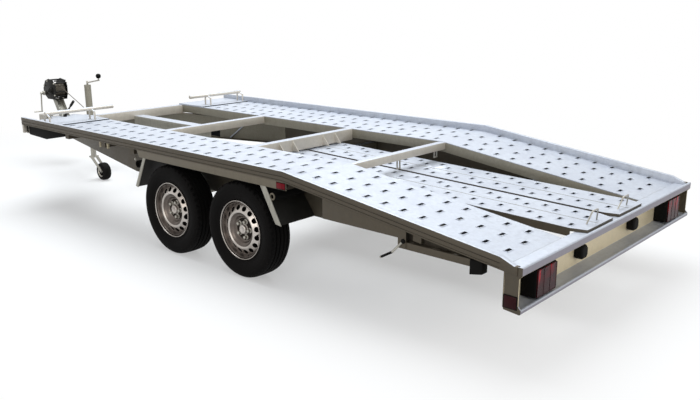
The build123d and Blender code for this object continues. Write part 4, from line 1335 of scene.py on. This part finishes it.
fixings = []
coupling_bolts = (46, ((6150, 440), (6200, 440)))
housing_bolts = (48, ((5790, 412), (5790, 460), (6010, 412), (6010, 460)))
for width, places in (coupling_bolts, housing_bolts):
    for sign in (1, -1):
        fixings += bolts_at([(x, sign * width, z) for x, z in places], (0, sign, 0))
fixings += bolts_at([(x, sign * 140, 530) for x in (5240, 5330) for sign in (1, -1)], (0, 0, 1))
for sign in (1, -1):
    fixings += bolts_at([(2962, sign * 1046, 590)], (0, sign, 0), 0.7)
settle(join(fixings), "bolts", bright_steel)
handle = [rod((4990, 150, 428), (4990, 190, 428), 7), rod((4990, 152, 404), (4990, 152, 452), 6)]
settle(join(handle), "jockey_clamp_handle", bright_steel)
bpy.data.objects.remove(bolt)
print("fixings", len(fixings))

# %% [markdown]
# ## Braces in the drawbar arms
# Inside each arm's channel a round brace runs from flange to flange. It lies along the arm, so its
# Y follows the arm's line from the main beam to the nose.

# %% Brace of each arm
arm_rear, arm_outer, arm_turn = 3400, 770, 0.25
brace_foot, brace_head = (3975, 399), (3742, 592)
brace_depth = 22


def arm_y(x, depth):
    """Distance from the middle line of a point at a depth inside the arm's outer face."""
    return arm_outer - arm_turn * (x - arm_rear) - depth


braces = [
    rod(*((x, sign * arm_y(x, brace_depth), z) for x, z in (brace_foot, brace_head)), 7)
    for sign in (1, -1)
]
settle(join(braces), "arm_braces", plate_steel)
print("arm braces", len(braces))

# %% [markdown]
# ## Ramp guides
# Each guide is a pair of flat strips with a foot between them, welded under the last beam.

# %% Guides that hang from the last beam
guide_table = ((-377, 578), (34, 564), (400, 578))
guides = []
for y, low in guide_table:
    for shift in (-14, 14):
        guides.append(block((1484, y + shift - 5, low), (1490, y + shift + 5, 640)))
    guides.append(block((1483, y - 20, low), (1490, y + 20, low + 9)))
settle(join(guides), "ramp_guides", bright_steel)
print("guides", len(guide_table))

# %% [markdown]
# ## Joint between the planks
# Each ramp is two perforated planks side by side. Where they meet, their folded edges leave a thin
# dark line along the ramp, which is a shallow bar of shade laid along the ramp's slope.

# %% Dark line along each ramp
seam = 195
lines = []
for sign in (1, -1):
    line = block((50, sign * seam - 1.2, 505), (2410, sign * seam + 1.2, 512.4), 0.3, 1)
    for vertex in line.data.vertices:
        vertex.co.z += from_lip(vertex.co.x) * ramp_slope
    lines.append(line)
settle(join(lines), "plank_joints", half_shaded_steel)
print("plank joints", len(lines))

# %% [markdown]
# ## Floor and backdrop
# The picture has a plain white background. For the camera and for reflections the floor is a pale
# sheet that fades to pure white away from the trailer, so that the shadow stays and the horizon
# goes. For bounced light it is a darker ground, because real ground under a trailer is dark, and
# the undersides would otherwise glow.

# %% Floor
deselect()
bpy.ops.mesh.primitive_plane_add(size=60, location=(0, 0, 0))
floor = bpy.context.object
floor.name = "floor"


def seen_by_eye(tree):
    """1 for camera rays and for rays through reflections and glass, 0 for bounced light."""
    rays = tree.nodes.new("ShaderNodeLightPath")
    wanted = ("Is Camera Ray", "Is Glossy Ray", "Is Transmission Ray")
    camera_ray, glossy_ray, clear_ray = (Socket(tree, rays.outputs[name]) for name in wanted)
    return camera_ray.math("MAXIMUM", camera_ray.math("MAXIMUM", camera_ray, glossy_ray), clear_ray)


def choose(tree, by, first, second):
    """A mix shader between two shader nodes."""
    mixed = tree.nodes.new("ShaderNodeMixShader")
    tree.links.new(by.output, mixed.inputs[0])
    tree.links.new(first.outputs[0], mixed.inputs[1])
    tree.links.new(second.outputs[0], mixed.inputs[2])
    return mixed


floor_paint, place = new_material("floor_paint")
tree = floor_paint.node_tree
soft = place.node("ShaderNodeTexNoise", Vector=place, Scale=0.6, Detail=2.0)
dress(floor_paint, Base_Color=soft.mix(shade(240, 240, 240), shade(246, 246, 246)), Roughness=0.95,
      Specular_IOR_Level=0.0)
pale = tree.nodes["Principled BSDF"]
oval = place.node("ShaderNodeMapping", Vector=place, Scale=(0.30, 0.55, 1.0))
distance = oval.node("ShaderNodeVectorMath", {"operation": "LENGTH"}, output=1, i0=oval)
white = tree.nodes.new("ShaderNodeEmission")
white.inputs["Color"].default_value = (1, 1, 1, 1)
ground = tree.nodes.new("ShaderNodeBsdfDiffuse")
ground.inputs["Color"].default_value = (0.32, 0.31, 0.30, 1)
shown = choose(tree, distance.above(1.15, 0.9) * 0.6 + 0.4, pale, white)
both = choose(tree, seen_by_eye(tree), ground, shown)
tree.links.new(both.outputs[0], tree.nodes["Material Output"].inputs["Surface"])
floor.data.materials.append(floor_paint)
print("floor laid")

# %% [markdown]
# ## World
# The camera sees a white backdrop, and the steel is lit by a weaker, slightly blue sky.

# %% Sky and backdrop
world = bpy.data.worlds.new("world")
scene.world = world
world.use_nodes = True
sky_tree = world.node_tree
sky = sky_tree.nodes["Background"]
sky.inputs["Color"].default_value = (0.90, 0.95, 1.0, 1)
sky.inputs["Strength"].default_value = 0.42
white_sky = sky_tree.nodes.new("ShaderNodeBackground")
white_sky.inputs["Color"].default_value = (1, 1, 1, 1)
white_sky.inputs["Strength"].default_value = 1.0
choice = choose(sky_tree, seen_by_eye(sky_tree), sky, white_sky)
sky_tree.links.new(choice.outputs[0], sky_tree.nodes["World Output"].inputs["Surface"])
print("world ready")

# %% [markdown]
# ## Lights
# The deck lies under an open sky, while the side that faces us is in shade. A large cool lamp
# overhead lights the tops, and two weak warm ones fill the side and the tail.

# %% Three area lamps
lamp_table = [
    ("sky_lamp", (0.4, -1.2, 6.0), (0, 0, 0.5), 7.0, 560, (0.93, 0.97, 1.0)),
    ("side_lamp", (-2.5, 7.0, 2.2), (0, 0, 0.5), 4.0, 70, (1.0, 0.96, 0.9)),
    ("tail_lamp", (-8.5, 0.5, 2.6), (-2.5, 0, 0.5), 3.0, 110, (1.0, 0.97, 0.92)),
]
for name, place_at, aim, size, power, colour in lamp_table:
    data = bpy.data.lights.new(name, "AREA")
    data.shape = "DISK"
    data.size = size
    data.energy = power
    data.color = colour
    lamp = bpy.data.objects.new(name, data)
    scene.collection.objects.link(lamp)
    lamp.location = place_at
    lamp.rotation_euler = (Vector(aim) - Vector(place_at)).to_track_quat("-Z", "Y").to_euler()
scene.view_settings.view_transform = "Standard"
print("lamps", len(lamp_table))
